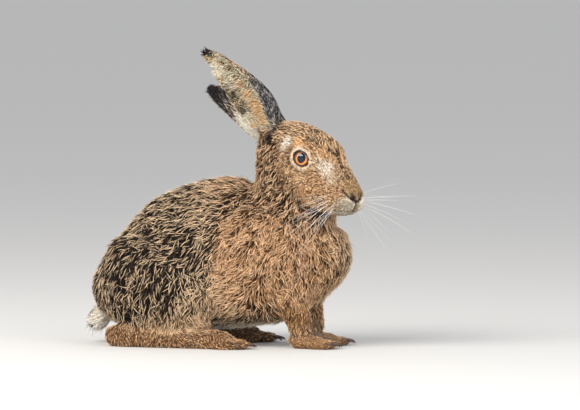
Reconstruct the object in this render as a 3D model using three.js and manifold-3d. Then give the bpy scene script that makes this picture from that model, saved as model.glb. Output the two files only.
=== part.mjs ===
// A brown hare crouched on the ground, life size, as a still model. Millimetres, +Z up.
// The back runs along +X, the hare's left is +Y, and the head looks a little to its right.

import * as THREE from 'three';
import { mergeVertices } from 'three/addons/utils/BufferGeometryUtils.js';
import Module from 'manifold-3d';

const wasm = await Module();
wasm.setup();

// Driving dimensions
const BODY_LENGTH = 256;
const BACK_HEIGHT = 162;
const BODY_WIDTH = 112;
const RUMP_X = -136;
const HEAD_LENGTH = 129;
const HEAD_DEPTH = 70;
const HEAD_WIDTH = 54;
const EAR_WIDTH = 41;
const EYE_RADIUS = 10.5;
const EYE_OPENING = 7;
const HIND_FOOT_LENGTH = 146;
const FOREPAW_LENGTH = 46;
const WHISKER_LENGTH = 62;
const WHISKER_ROOT = 0.9;
const GAP = 0.3;

// Pose of the head on the neck
const HEAD_TURN = -31;
const HEAD_DROP = 30;
const HEAD_PIVOT = [61, 0, 192];
const HEAD_BACK_X = -24;

const UP = new THREE.Vector3(0, 0, 1);
const LEFT = new THREE.Vector3(0, 1, 0);
const FORWARD = new THREE.Vector3(1, 0, 0);
const FLOOR_BLOCK = [600, 400, 60];

const materials = {
  coat: { color: 0x8a6b4a, roughness: 0.85, metalness: 0 },
  rufous: { color: 0xa8744a, roughness: 0.85, metalness: 0 },
  ear: { color: 0xb59b78, roughness: 0.8, metalness: 0 },
  eye: { color: 0x8a4a18, roughness: 0.1, metalness: 0 },
  scut: { color: 0xe8e2d6, roughness: 0.9, metalness: 0 },
};

// Solids from closed meshes

function vector(x, y, z) {
  return new THREE.Vector3(x, y, z);
}

function triangleVolume(positions, triangles) {
  const a = vector(0, 0, 0);
  const b = vector(0, 0, 0);
  const c = vector(0, 0, 0);
  let volume = 0;
  for (let i = 0; i < triangles.length; i += 3) {
    a.fromArray(positions, 3 * triangles[i]);
    b.fromArray(positions, 3 * triangles[i + 1]);
    c.fromArray(positions, 3 * triangles[i + 2]);
    volume += a.dot(b.cross(c)) / 6;
  }
  return volume;
}

function solid(geometry) {
  const bare = geometry.clone();
  bare.deleteAttribute('normal');
  bare.deleteAttribute('uv');
  const merged = mergeVertices(bare, 1e-4);
  const positions = new Float32Array(merged.attributes.position.array);
  const triangles = [];
  const index = merged.index.array;
  for (let i = 0; i < index.length; i += 3) {
    const [a, b, c] = [index[i], index[i + 1], index[i + 2]];
    if (a !== b && b !== c && c !== a) {
      triangles.push(a, b, c);
    }
  }
  if (triangleVolume(positions, triangles) < 0) {
    triangles.reverse();
  }
  return new wasm.Manifold(new wasm.Mesh({
    numProp: 3,
    vertProperties: positions,
    triVerts: new Uint32Array(triangles),
  }));
}

function geometryOf(body) {
  const mesh = body.getMesh();
  const geometry = new THREE.BufferGeometry();
  const positions = new Float32Array(mesh.vertProperties);
  geometry.setAttribute('position', new THREE.BufferAttribute(positions, 3));
  geometry.setIndex(new THREE.BufferAttribute(new Uint32Array(mesh.triVerts), 1));
  return geometry;
}

function largestPiece(body) {
  const pieces = body.decompose();
  pieces.sort((a, b) => b.volume() - a.volume());
  return pieces[0];
}

function joined(bodies) {
  return bodies.reduce((whole, body) => whole.add(body));
}

function cutBy(body, cutters) {
  return cutters.reduce((rest, cutter) => rest.subtract(cutter), body);
}

function node(name, body, look) {
  const geometry = geometryOf(largestPiece(body));
  geometry.computeVertexNormals();
  const mesh = new THREE.Mesh(geometry, new THREE.MeshStandardMaterial(materials[look]));
  mesh.name = name;
  return mesh;
}

function mirrored(geometry) {
  const copy = geometry.clone();
  copy.scale(1, -1, 1);
  return copy;
}

// Rings of points joined into closed skins

function closedSkin(rings, startPole, endPole) {
  const sides = rings[0].length;
  const positions = rings.flat().flatMap((p) => [p.x, p.y, p.z]);
  const start = rings.length * sides;
  positions.push(startPole.x, startPole.y, startPole.z, endPole.x, endPole.y, endPole.z);
  const index = [];
  for (let k = 0; k < sides; k += 1) {
    const next = (k + 1) % sides;
    index.push(start, next, k);
    const last = (rings.length - 1) * sides;
    index.push(start + 1, last + k, last + next);
    for (let i = 0; i + 1 < rings.length; i += 1) {
      const low = i * sides;
      const high = low + sides;
      index.push(low + k, low + next, high + k);
      index.push(low + next, high + next, high + k);
    }
  }
  const geometry = new THREE.BufferGeometry();
  geometry.setAttribute('position', new THREE.Float32BufferAttribute(positions, 3));
  geometry.setIndex(index);
  return geometry;
}

function roundedSteps(rings, ends, endRings) {
  const steps = [];
  for (let i = 1; i <= endRings; i += 1) {
    const turn = (i / endRings) * (Math.PI / 2);
    steps.push({ t: ends[0] * (1 - Math.cos(turn)), share: Math.sin(turn) });
  }
  for (let i = 1; i < rings; i += 1) {
    steps.push({ t: ends[0] + (i / rings) * (1 - ends[0] - ends[1]), share: 1 });
  }
  for (let i = endRings; i >= 1; i -= 1) {
    const turn = (i / endRings) * (Math.PI / 2);
    steps.push({ t: 1 - ends[1] * (1 - Math.cos(turn)), share: Math.sin(turn) });
  }
  return steps;
}

function swell(point, centre, bumps) {
  const outward = point.clone().sub(centre).normalize();
  const moved = point.clone();
  for (const bump of bumps) {
    const distance = point.distanceTo(bump.at) / bump.reach;
    moved.addScaledVector(outward, bump.by * Math.exp(-distance * distance));
  }
  return moved;
}

// A body form: stations give its centre line and, at each, how far it reaches up, down and aside.
function loft(form, grow = 0) {
  const { stations, rings, sides, ends, endRings = 4, power = [2, 2], axis, sideways, bumps = [] } = form;
  const line = new THREE.CatmullRomCurve3(stations.map((s) => s.at));
  const reach = new THREE.CatmullRomCurve3(stations.map((s) => vector(s.wide, s.up, s.down)));
  const skinRings = roundedSteps(rings, ends, endRings).map(({ t, share }) => {
    const centre = line.getPoint(t);
    const along = axis ?? line.getTangent(t);
    const side = sideways.clone().addScaledVector(along, -sideways.dot(along)).normalize();
    const up = along.clone().cross(side);
    const size = reach.getPoint(t).multiplyScalar(share).addScalar(grow);
    const ring = [];
    for (let k = 0; k < sides; k += 1) {
      const angle = (k / sides) * Math.PI * 2;
      const [c, s] = [Math.cos(angle), Math.sin(angle)];
      const square = 2 / power[s < 0 ? 1 : 0];
      const aside = Math.sign(c) * Math.abs(c) ** square * size.x;
      const rise = Math.sign(s) * Math.abs(s) ** square * (s < 0 ? size.z : size.y);
      const point = centre.clone().addScaledVector(side, aside).addScaledVector(up, rise);
      ring.push(swell(point, centre, bumps));
    }
    return ring;
  });
  const startAlong = axis ?? line.getTangent(0);
  const endAlong = axis ?? line.getTangent(1);
  const startPole = line.getPoint(0).addScaledVector(startAlong, -grow);
  const endPole = line.getPoint(1).addScaledVector(endAlong, grow);
  return closedSkin(skinRings, startPole, endPole);
}

function station(x, y, z, wide, up, down) {
  return { at: vector(x, y, z), wide, up, down };
}

// A station of a form that runs along X, from the levels of its top, bottom and widest place.
function section(x, top, bottom, wide, widest) {
  return station(x, 0, widest, wide, top - widest, widest - bottom);
}

// Torso: shares of the body's length from the rump, and of its height and width
const torsoShares = [
  { along: 0.0, top: 0.42, bottom: 0.26, wide: 0.3 },
  { along: 0.05, top: 0.52, bottom: 0.2, wide: 0.56 },
  { along: 0.1, top: 0.635, bottom: 0.12, wide: 0.7 },
  { along: 0.165, top: 0.75, bottom: 0.09, wide: 0.84 },
  { along: 0.235, top: 0.865, bottom: 0.08, wide: 0.94 },
  { along: 0.335, top: 0.945, bottom: 0.08, wide: 1.0 },
  { along: 0.435, top: 0.985, bottom: 0.085, wide: 1.0 },
  { along: 0.555, top: 0.995, bottom: 0.095, wide: 0.95 },
  { along: 0.65, top: 0.95, bottom: 0.115, wide: 0.88 },
  { along: 0.76, top: 0.84, bottom: 0.15, wide: 0.8 },
  { along: 0.87, top: 0.76, bottom: 0.25, wide: 0.66 },
  { along: 0.95, top: 0.73, bottom: 0.365, wide: 0.48 },
  { along: 1.0, top: 0.66, bottom: 0.46, wide: 0.31 },
];

const torsoForm = {
  stations: torsoShares.map(({ along, top, bottom, wide }) => section(
    RUMP_X + along * BODY_LENGTH,
    top * BACK_HEIGHT,
    bottom * BACK_HEIGHT,
    wide * BODY_WIDTH / 2,
    (0.42 * top + 0.58 * bottom) * BACK_HEIGHT,
  )),
  rings: 16,
  sides: 24,
  ends: [0.06, 0.06],
  endRings: 3,
  power: [1.9, 2.4],
  axis: FORWARD,
  sideways: LEFT,
  bumps: [
    { at: vector(-52, 0, 168), by: -2, reach: 26 },
    { at: vector(6, 0, 170), by: 2.5, reach: 24 },
  ],
};

// Neck: level, where the nape and throat stand, and half the width there
const neckLevels = [
  { z: 96, nape: 24, throat: 84, wide: 26 },
  { z: 112, nape: 13, throat: 105, wide: 37 },
  { z: 126, nape: 17, throat: 106, wide: 38 },
  { z: 140, nape: 22, throat: 100, wide: 36 },
  { z: 157, nape: 25.5, throat: 88, wide: 32 },
  { z: 173, nape: 26, throat: 80, wide: 29 },
  { z: 190, nape: 26.5, throat: 74, wide: 27 },
  { z: 204, nape: 29, throat: 68, wide: 21 },
  { z: 211, nape: 33, throat: 60, wide: 14 },
];

const neckForm = {
  stations: neckLevels.map(({ z, nape, throat, wide }) => {
    const half = (throat - nape) / 2;
    return station(nape + half, 0, z, wide, half, half);
  }),
  rings: 8,
  sides: 20,
  ends: [0.08, 0.1],
  endRings: 3,
  power: [2.1, 2.1],
  axis: UP,
  sideways: LEFT,
};

// Head, in its own frame: X runs from the pivot to the nose, Z to the crown.
const headShares = [
  { along: 0.0, top: 0.19, bottom: -0.14, wide: 0.5, widest: 0.03 },
  { along: 0.07, top: 0.27, bottom: -0.28, wide: 0.74, widest: 0.0 },
  { along: 0.15, top: 0.35, bottom: -0.38, wide: 0.9, widest: -0.02 },
  { along: 0.25, top: 0.405, bottom: -0.46, wide: 0.99, widest: -0.04 },
  { along: 0.35, top: 0.435, bottom: -0.5, wide: 1.02, widest: -0.05 },
  { along: 0.45, top: 0.445, bottom: -0.51, wide: 1.0, widest: -0.06 },
  { along: 0.53, top: 0.42, bottom: -0.5, wide: 0.95, widest: -0.07 },
  { along: 0.61, top: 0.37, bottom: -0.48, wide: 0.93, widest: -0.09 },
  { along: 0.69, top: 0.305, bottom: -0.45, wide: 0.87, widest: -0.1 },
  { along: 0.8, top: 0.22, bottom: -0.39, wide: 0.77, widest: -0.1 },
  { along: 0.9, top: 0.145, bottom: -0.3, wide: 0.64, widest: -0.09 },
  { along: 0.96, top: 0.085, bottom: -0.21, wide: 0.48, widest: -0.07 },
  { along: 1.0, top: 0.04, bottom: -0.13, wide: 0.35, widest: -0.05 },
];

const EYE_AT = vector(37.2, 19.4, 10.2);
const EYE_LOOK = vector(0.34, 0.9, 0.2).normalize();

function onBothSides(at, by, reach) {
  return [
    { at, by, reach },
    { at: vector(at.x, -at.y, at.z), by, reach },
  ];
}

const headForm = {
  stations: headShares.map(({ along, top, bottom, wide, widest }) => section(
    HEAD_BACK_X + along * HEAD_LENGTH,
    top * HEAD_DEPTH,
    bottom * HEAD_DEPTH,
    wide * HEAD_WIDTH / 2,
    widest * HEAD_DEPTH,
  )),
  rings: 24,
  sides: 34,
  ends: [0.08, 0.05],
  endRings: 4,
  power: [2.5, 2.2],
  axis: FORWARD,
  sideways: LEFT,
  bumps: [
    ...onBothSides(vector(36.7, 26, 10.2), 1.2, 12),
    ...onBothSides(vector(40, 18, 25), 1.6, 10),
    ...onBothSides(vector(30, 24, -20), 2.2, 18),
    ...onBothSides(vector(90, 14, -10), 2.6, 9),
    ...onBothSides(vector(58, 22, -1), -1.6, 8),
    { at: vector(99, 0, 4), by: 1.2, reach: 5 },
  ],
};

const headPlace = new THREE.Matrix4()
  .makeTranslation(...HEAD_PIVOT)
  .multiply(new THREE.Matrix4().makeRotationZ(THREE.MathUtils.degToRad(HEAD_TURN)))
  .multiply(new THREE.Matrix4().makeRotationY(THREE.MathUtils.degToRad(HEAD_DROP)));

// Places on the skin of the head, found along a ray from inside it
const headSkin = new THREE.Mesh(loft(headForm), new THREE.MeshBasicMaterial({ side: THREE.DoubleSide }));
const muzzleCentre = vector(84, 0, -9);

function direction(turn, rise) {
  const [a, b] = [THREE.MathUtils.degToRad(turn), THREE.MathUtils.degToRad(rise)];
  return vector(Math.cos(b) * Math.cos(a), Math.cos(b) * Math.sin(a), Math.sin(b));
}

function onHead(from, towards) {
  const hits = new THREE.Raycaster(from, towards).intersectObject(headSkin);
  return { at: hits[0].point, out: towards.clone() };
}

// A cut of V section that follows points on the skin
function groove(points, widthAt, depth) {
  const line = new THREE.CatmullRomCurve3(points.map((p) => p.at));
  const proud = 2;
  const rings = points.map(({ at, out }, i) => {
    const t = i / (points.length - 1);
    const across = line.getTangent(t).cross(out).normalize();
    const half = widthAt(t) / 2;
    const flare = 1 + proud / depth;
    return [
      at.clone().addScaledVector(out, -depth),
      at.clone().addScaledVector(out, proud).addScaledVector(across, half * flare),
      at.clone().addScaledVector(out, proud).addScaledVector(across, -half * flare),
    ];
  });
  const middle = (ring) => ring[0].clone().add(ring[1]).add(ring[2]).divideScalar(3);
  return closedSkin(rings, middle(rings[0]), middle(rings[rings.length - 1]));
}

// Nose and mouth: turns and rises in degrees as seen from the middle of the muzzle
const MOUTH = { corner: 96, front: -4, fall: 38, steps: 16, wide: 1.6, depth: 1.8 };
const NOSTRIL = { turns: [3, 60], rises: [28, 56], steps: 6, wide: [1.2, 3.4], depth: 3.6 };
const CLEFT = { top: 28, steps: 6, wide: 1.2, depth: 1.8 };

function mouthLine() {
  const points = [];
  for (let i = 0; i <= MOUTH.steps; i += 1) {
    const share = 2 * i / MOUTH.steps - 1;
    points.push(onHead(muzzleCentre, direction(share * MOUTH.corner, MOUTH.front - MOUTH.fall * share ** 2)));
  }
  return groove(points, () => MOUTH.wide, MOUTH.depth);
}

function nostril(side) {
  const [inner, outer] = NOSTRIL.turns;
  const [low, high] = NOSTRIL.rises;
  const [narrow, wide] = NOSTRIL.wide;
  const points = [];
  for (let i = 0; i <= NOSTRIL.steps; i += 1) {
    const t = i / NOSTRIL.steps;
    const turn = side * (inner + (outer - inner) * t);
    points.push(onHead(muzzleCentre, direction(turn, low + (high - low) * t)));
  }
  const widthAt = (t) => narrow + (wide - narrow) * Math.sin(Math.PI * (0.15 + 0.85 * t)) ** 2;
  return groove(points, widthAt, NOSTRIL.depth);
}

function philtrum() {
  const points = [];
  for (let i = 0; i <= CLEFT.steps; i += 1) {
    const rise = CLEFT.top + (MOUTH.front - CLEFT.top) * (i / CLEFT.steps);
    points.push(onHead(muzzleCentre, direction(0, rise)));
  }
  return groove(points, () => CLEFT.wide, CLEFT.depth);
}

// Lids: a band round the opening of the eye, drawn out to a point at the front corner
function lid() {
  const turns = 24;
  const cornerTurn = THREE.MathUtils.degToRad(-34);
  const side = UP.clone().cross(EYE_LOOK).negate().normalize();
  const up = EYE_LOOK.clone().cross(side).negate();
  const bandSection = [[-0.1, 0.1], [0.7, 1.2], [2.2, 0.9], [5.4, -2.8], [4.6, -5.5], [0.4, -5]];
  const positions = [];
  for (let i = 0; i < turns; i += 1) {
    const angle = (i / turns) * Math.PI * 2;
    const corner = Math.max(Math.cos(angle - cornerTurn), 0) ** 10;
    const radius = EYE_OPENING * (1 + 0.26 * corner);
    const height = Math.sqrt(EYE_RADIUS ** 2 - radius ** 2);
    const radial = side.clone().multiplyScalar(Math.cos(angle)).addScaledVector(up, Math.sin(angle));
    for (const [out, along] of bandSection) {
      const point = EYE_AT.clone()
        .addScaledVector(radial, radius + out)
        .addScaledVector(EYE_LOOK, height + along);
      positions.push(point.x, point.y, point.z);
    }
  }
  const index = [];
  const count = bandSection.length;
  for (let i = 0; i < turns; i += 1) {
    const after = ((i + 1) % turns) * count;
    for (let k = 0; k < count; k += 1) {
      const next = (k + 1) % count;
      index.push(i * count + k, i * count + next, after + k);
      index.push(i * count + next, after + next, after + k);
    }
  }
  const geometry = new THREE.BufferGeometry();
  geometry.setAttribute('position', new THREE.Float32BufferAttribute(positions, 3));
  geometry.setIndex(index);
  return geometry;
}

function eyeball(radius) {
  const ball = new THREE.SphereGeometry(radius, 16, 10);
  ball.translate(EYE_AT.x, EYE_AT.y, EYE_AT.z);
  return ball;
}

// Ears: a trough of thin skin, nearly a tube at its root, open to the side at the tip
const earWidths = [0.5, 0.68, 0.88, 1.0, 1.03, 0.98, 0.88, 0.77, 0.64, 0.46, 0.2];
const EAR_ROOT_WRAP = 150;
const EAR_TIP_WRAP = 62;
const EAR_ROOT_SKIN = 3.4;
const EAR_TIP_SKIN = 1.5;
const EAR_DEPTH_SHARE = 0.8;

function ear({ root, tip, open, bend, spread }) {
  const line = new THREE.CatmullRomCurve3([
    root,
    root.clone().lerp(tip, 0.5).add(bend),
    tip,
  ]);
  const widths = new THREE.SplineCurve(earWidths.map((w, i) => new THREE.Vector2(i, w)));
  const rings = 18;
  const sides = 9;
  const skin = [];
  for (let i = 0; i <= rings; i += 1) {
    const t = i / rings;
    const centre = line.getPoint(t);
    const along = line.getTangent(t);
    const facing = open.clone().addScaledVector(along, -open.dot(along)).normalize();
    const across = along.clone().cross(facing);
    const share = 1 - (1 - t) ** 1.4;
    const wrap = THREE.MathUtils.degToRad(EAR_ROOT_WRAP + (EAR_TIP_WRAP - EAR_ROOT_WRAP) * share);
    const half = widths.getPoint(t).y * spread * EAR_WIDTH / 2;
    const radius = half / Math.sin(Math.min(wrap, Math.PI / 2));
    const thick = Math.min(EAR_ROOT_SKIN + (EAR_TIP_SKIN - EAR_ROOT_SKIN) * t, half);
    const place = (turn, r) => centre.clone()
      .addScaledVector(across, Math.sin(turn) * r)
      .addScaledVector(facing, (Math.cos(wrap) * 0.5 - Math.cos(turn)) * r * EAR_DEPTH_SHARE);
    const outer = [];
    const inner = [];
    for (let k = 0; k <= sides; k += 1) {
      const turn = wrap * (2 * k / sides - 1);
      const rim = Math.abs(2 * k / sides - 1) ** 4;
      outer.push(place(turn, radius));
      inner.push(place(turn, radius - thick * (1 - 0.55 * rim)));
    }
    skin.push([...outer, ...inner.reverse()]);
  }
  return troughSkin(skin);
}

// Rings that are folded strips: each end is closed by joining the strip's two faces
function troughSkin(rings) {
  const count = rings[0].length;
  const positions = rings.flat().flatMap((p) => [p.x, p.y, p.z]);
  const index = [];
  for (let i = 0; i + 1 < rings.length; i += 1) {
    for (let k = 0; k < count; k += 1) {
      const next = (k + 1) % count;
      const [low, high] = [i * count, (i + 1) * count];
      index.push(low + k, low + next, high + k);
      index.push(low + next, high + next, high + k);
    }
  }
  const last = (rings.length - 1) * count;
  for (let k = 0; k + 1 < count / 2; k += 1) {
    const [a, b, c, d] = [k, k + 1, count - 2 - k, count - 1 - k];
    index.push(a, d, b, b, d, c);
    index.push(last + a, last + b, last + d, last + b, last + c, last + d);
  }
  const geometry = new THREE.BufferGeometry();
  geometry.setAttribute('position', new THREE.Float32BufferAttribute(positions, 3));
  geometry.setIndex(index);
  return geometry;
}

const rightEar = {
  root: vector(-12, -14, 6),
  tip: vector(-119.5, -34, 33.5),
  open: vector(0.38, -0.86, -0.3),
  bend: vector(-2, -1, 3),
  spread: 1,
};

const leftEar = {
  root: vector(-17.5, 12, -3),
  tip: vector(-128.5, 4, -14),
  open: vector(0.1, 0.92, -0.3),
  bend: vector(-2, 8, -2),
  spread: 0.88,
};

// Whiskers, rooted in a pad that is let into the side of the muzzle
const PAD_AT = vector(87, 17, -9);
const PAD_REACH = vector(10, 6, 8);

function padBlock(grow) {
  const block = new THREE.SphereGeometry(1, 10, 6);
  block.scale(PAD_REACH.x + grow, PAD_REACH.y + grow, PAD_REACH.z + grow);
  block.translate(PAD_AT.x, PAD_AT.y, PAD_AT.z);
  return block;
}

function whisker(root, towards, length, droop) {
  const start = root.clone().addScaledVector(towards, -2.5);
  const stations = [0, 0.35, 0.7, 1].map((t) => {
    const at = start.clone().addScaledVector(towards, length * t);
    at.z -= droop * length * t * t;
    const radius = (WHISKER_ROOT / 2) * (1 - 0.75 * t);
    return station(at.x, at.y, at.z, radius, radius, radius);
  });
  return loft({ stations, rings: 4, sides: 3, ends: [0.01, 0.01], endRings: 1, sideways: FORWARD });
}

// Each fan has columns from front to back and rows from top to bottom
const whiskerFans = {
  right: { turns: [74, 94, 114], rises: [-20, -40, -56], length: 1, droop: 0.1 },
  left: { turns: [32, 58, 88], rises: [18, 0, -26], length: 1, droop: 0.1 },
};
const ROOT_TURNS = [55, 81, 107];
const ROOT_RISES = [22, -2, -26];
const SHORTER_BY_ROW = 0.09;
const SHORTER_BY_COLUMN = 0.05;

function whiskers({ turns, rises, length, droop }) {
  const pieces = [];
  turns.forEach((turn, column) => {
    rises.forEach((rise, row) => {
      const root = onHead(PAD_AT.clone().setY(8), direction(ROOT_TURNS[column], ROOT_RISES[row])).at;
      const share = 1 - SHORTER_BY_ROW * row - SHORTER_BY_COLUMN * column;
      pieces.push(whisker(root, direction(turn, rise), WHISKER_LENGTH * length * share, droop));
    });
  });
  return pieces;
}

// Hind leg: thigh and shank folded together under the loose skin of the haunch
const haunchForm = {
  stations: [
    station(-122, -26, 62, 20, 24, 26),
    station(-104, -36, 68, 25, 36, 42),
    station(-74, -41, 66, 27, 42, 48),
    station(-44, -43, 56, 26, 40, 42),
    station(-20, -44, 46, 22, 30, 31),
    station(0, -44, 40, 16, 20, 22),
  ],
  rings: 7,
  sides: 18,
  ends: [0.2, 0.2],
  endRings: 3,
  power: [2, 2.1],
  axis: FORWARD,
  sideways: LEFT,
};

const shoulderForm = {
  stations: [
    station(-12, -37, 74, 14, 22, 20),
    station(6, -37, 84, 19, 40, 30),
    station(30, -36, 90, 22, 48, 40),
    station(56, -33, 86, 22, 44, 44),
    station(80, -28, 78, 20, 32, 40),
    station(97, -22, 72, 15, 20, 27),
  ],
  rings: 6,
  sides: 18,
  ends: [0.2, 0.2],
  endRings: 3,
  power: [2, 2],
  axis: FORWARD,
  sideways: LEFT,
};

const forelegForm = {
  stations: [
    station(58, -31, 66, 19, 22, 22),
    station(67, -28, 46, 15.5, 18, 18),
    station(74, -24, 28, 11.5, 13, 13),
    station(77, -22, 12, 9, 11, 11),
  ],
  rings: 4,
  sides: 12,
  ends: [0.15, 0.1],
  endRings: 2,
  sideways: LEFT,
};

// Feet: a sole that is flat on the floor, with four furred toes and their claws
const TOE_REACHES = [0.93, 1, 0.99, 0.9];
const TOE_SPACING = 1.45;
const toeShape = [
  { back: 1.05, spread: 0.8, girth: 0.9 },
  { back: 0.5, spread: 1, girth: 1.05 },
  { back: 0, spread: 1.06, girth: 0.8 },
];
const nailShape = [
  { ahead: -0.6, height: 5, radius: 1.5 },
  { ahead: 0.5, height: 4.2, radius: 1.2 },
  { ahead: 1, height: 1.8, radius: 0.4 },
];

function round(at, radius) {
  return { at, wide: radius, up: radius, down: radius };
}

function foot({ heel, length, splay, wide, high, toeShare, toeRadius, claw }) {
  const ahead = direction(splay, 0);
  const aside = UP.clone().cross(ahead);
  const place = (share, offset, z) => heel.clone()
    .addScaledVector(ahead, share * length)
    .addScaledVector(aside, offset)
    .setZ(z);
  const ring = (share, width, top) => ({
    at: place(share, 0, top * 0.45),
    wide: width,
    up: top * 0.55,
    down: top * 0.6,
  });
  const toeStart = 1 - toeShare;
  const sole = loft({
    stations: [
      ring(0, wide * 0.5, high * 0.5),
      ring(0.08, wide * 0.78, high * 0.9),
      ring(0.2, wide * 0.88, high),
      ring(toeStart * 0.6, wide * 0.9, high * 0.84),
      ring(toeStart, wide, high * 0.72),
      ring(1 - toeShare * 0.45, wide * 0.96, high * 0.55),
    ],
    rings: 4,
    sides: 12,
    ends: [0.1, 0.12],
    endRings: 2,
    sideways: LEFT,
  });
  const pieces = [solid(sole)];
  TOE_REACHES.forEach((reach, i) => {
    const offset = (i - 1.5) * toeRadius * TOE_SPACING;
    const toe = toeShape.map(({ back, spread, girth }) => {
      const share = reach - back * (reach - toeStart);
      return round(place(share, offset * spread, toeRadius * girth * 0.85), toeRadius * girth);
    });
    const nail = nailShape.map(({ ahead: share, height, radius }) => (
      round(place(reach + share * claw / length, offset * 1.06, height), radius)
    ));
    pieces.push(
      solid(loft({ stations: toe, rings: 1, sides: 7, ends: [0.2, 0.25], endRings: 2, sideways: LEFT })),
      solid(loft({ stations: nail, rings: 2, sides: 4, ends: [0.05, 0.05], endRings: 1, sideways: LEFT })),
    );
  });
  return onFloor(joined(pieces));
}

function onFloor(body) {
  const floor = new THREE.BoxGeometry(...FLOOR_BLOCK);
  floor.translate(0, 0, -FLOOR_BLOCK[2] / 2);
  return body.subtract(solid(floor));
}

const hindFoot = {
  heel: vector(-112, -40, 0),
  length: HIND_FOOT_LENGTH,
  splay: -4,
  wide: 14,
  high: 26,
  toeShare: 0.24,
  toeRadius: 5.6,
  claw: 7,
};

const forepaw = {
  heel: vector(66, -21, 0),
  length: FOREPAW_LENGTH,
  splay: -6,
  wide: 11.5,
  high: 17,
  toeShare: 0.5,
  toeRadius: 4.6,
  claw: 5.5,
};

// Scut: the short tail, pressed down behind the rump
const tailForm = {
  stations: [
    station(-108, 0, 42, 13, 12, 12),
    station(-121, 0, 33, 15, 12, 12),
    station(-130, 0, 22, 14, 10, 10),
    station(-133, 0, 12, 10, 6, 6),
  ],
  rings: 5,
  sides: 14,
  ends: [0.2, 0.22],
  endRings: 3,
  sideways: LEFT,
};

// The solids and the spaces that their neighbours keep clear of
function pair(make) {
  const right = make();
  return { right: solid(right), left: solid(mirrored(right)) };
}

const grownHead = solid(loft(headForm, GAP));
const neckSpace = solid(loft(neckForm, GAP).applyMatrix4(headPlace.clone().invert()));
const haunch = pair(() => loft(haunchForm));
const haunchSpace = pair(() => loft(haunchForm, GAP));
const shoulder = pair(() => loft(shoulderForm));
const shoulderSpace = pair(() => loft(shoulderForm, GAP));
const foreleg = pair(() => loft(forelegForm));
const forelegSpace = pair(() => loft(forelegForm, GAP));

function footPair(form) {
  const right = geometryOf(foot(form));
  const wider = geometryOf(foot({
    ...form,
    heel: form.heel.clone().setX(form.heel.x - GAP),
    length: form.length + 2 * GAP,
    wide: form.wide + GAP,
    high: form.high + 2 * GAP,
    toeRadius: form.toeRadius + GAP,
  }));
  return {
    right: solid(right),
    left: solid(mirrored(right)),
    rightSpace: solid(wider),
    leftSpace: solid(mirrored(wider)),
  };
}

const hindFeet = footPair(hindFoot);
const forepaws = footPair(forepaw);
const torsoSpace = solid(loft(torsoForm, GAP));

const torsoBody = cutBy(solid(loft(torsoForm)), [
  haunchSpace.right, haunchSpace.left,
  shoulderSpace.right, shoulderSpace.left,
  hindFeet.rightSpace, hindFeet.leftSpace,
]);

const grownHeadInPlace = solid(loft(headForm, GAP).applyMatrix4(headPlace));
const neckBody = cutBy(solid(loft(neckForm)), [
  grownHeadInPlace,
  torsoSpace,
  shoulderSpace.right,
  shoulderSpace.left,
]);

function headBody() {
  const lids = [solid(lid()), solid(mirrored(lid()))];
  const sockets = [solid(eyeball(EYE_RADIUS + GAP)), solid(mirrored(eyeball(EYE_RADIUS + GAP)))];
  const pads = [solid(padBlock(GAP)), solid(mirrored(padBlock(GAP)))];
  const features = [mouthLine(), nostril(1), nostril(-1), philtrum()].map(solid);
  return cutBy(joined([solid(headSkin.geometry), ...lids]), [...sockets, ...features, ...pads]);
}

function whiskerPad(fan, side) {
  const pad = solid(headSkin.geometry).intersect(solid(padBlock(0)));
  const whole = geometryOf(joined([pad, ...whiskers(fan).map(solid)]));
  return solid(side < 0 ? mirrored(whole) : whole);
}

const headGroup = new THREE.Group();
headGroup.applyMatrix4(headPlace);
headGroup.add(
  node('head', headBody(), 'coat'),
  node('eye_right', solid(mirrored(eyeball(EYE_RADIUS))), 'eye'),
  node('eye_left', solid(eyeball(EYE_RADIUS)), 'eye'),
  node('whisker_pad_right', whiskerPad(whiskerFans.right, -1), 'coat'),
  node('whisker_pad_left', whiskerPad(whiskerFans.left, 1), 'coat'),
  node('ear_right', cutBy(solid(ear(rightEar)), [grownHead, neckSpace]), 'ear'),
  node('ear_left', cutBy(solid(ear(leftEar)), [grownHead, neckSpace]), 'ear'),
);

const hare = new THREE.Group();
hare.add(
  node('torso', torsoBody, 'coat'),
  node('neck', neckBody, 'coat'),
  node('tail', cutBy(solid(loft(tailForm)), [torsoSpace]), 'scut'),
  headGroup,
);

for (const side of ['right', 'left']) {
  const space = `${side}Space`;
  const forelegBody = cutBy(foreleg[side], [shoulderSpace[side], torsoSpace, forepaws[space]]);
  hare.add(
    node(`haunch_${side}`, cutBy(haunch[side], [hindFeet[space], shoulderSpace[side]]), 'coat'),
    node(`hind_foot_${side}`, hindFeet[side], 'rufous'),
    node(`shoulder_${side}`, shoulder[side], 'rufous'),
    node(`foreleg_${side}`, forelegBody, 'rufous'),
    node(`forepaw_${side}`, forepaws[side], 'rufous'),
  );
}

// The origin is under the middle of the whole hare, on the floor.
hare.updateMatrixWorld(true);
const box = new THREE.Box3().setFromObject(hare, true);
hare.position.set(-(box.min.x + box.max.x) / 2, -(box.min.y + box.max.y) / 2, -box.min.z);

export default hare;
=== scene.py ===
"""Dresses the still model of a brown hare: skin, coat, eyes, whiskers and claws, and a plain studio."""

import math

import bmesh
import bpy
import numpy as np
from mathutils import Matrix, Vector
from mathutils.bvhtree import BVHTree
from mathutils.kdtree import KDTree


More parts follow.
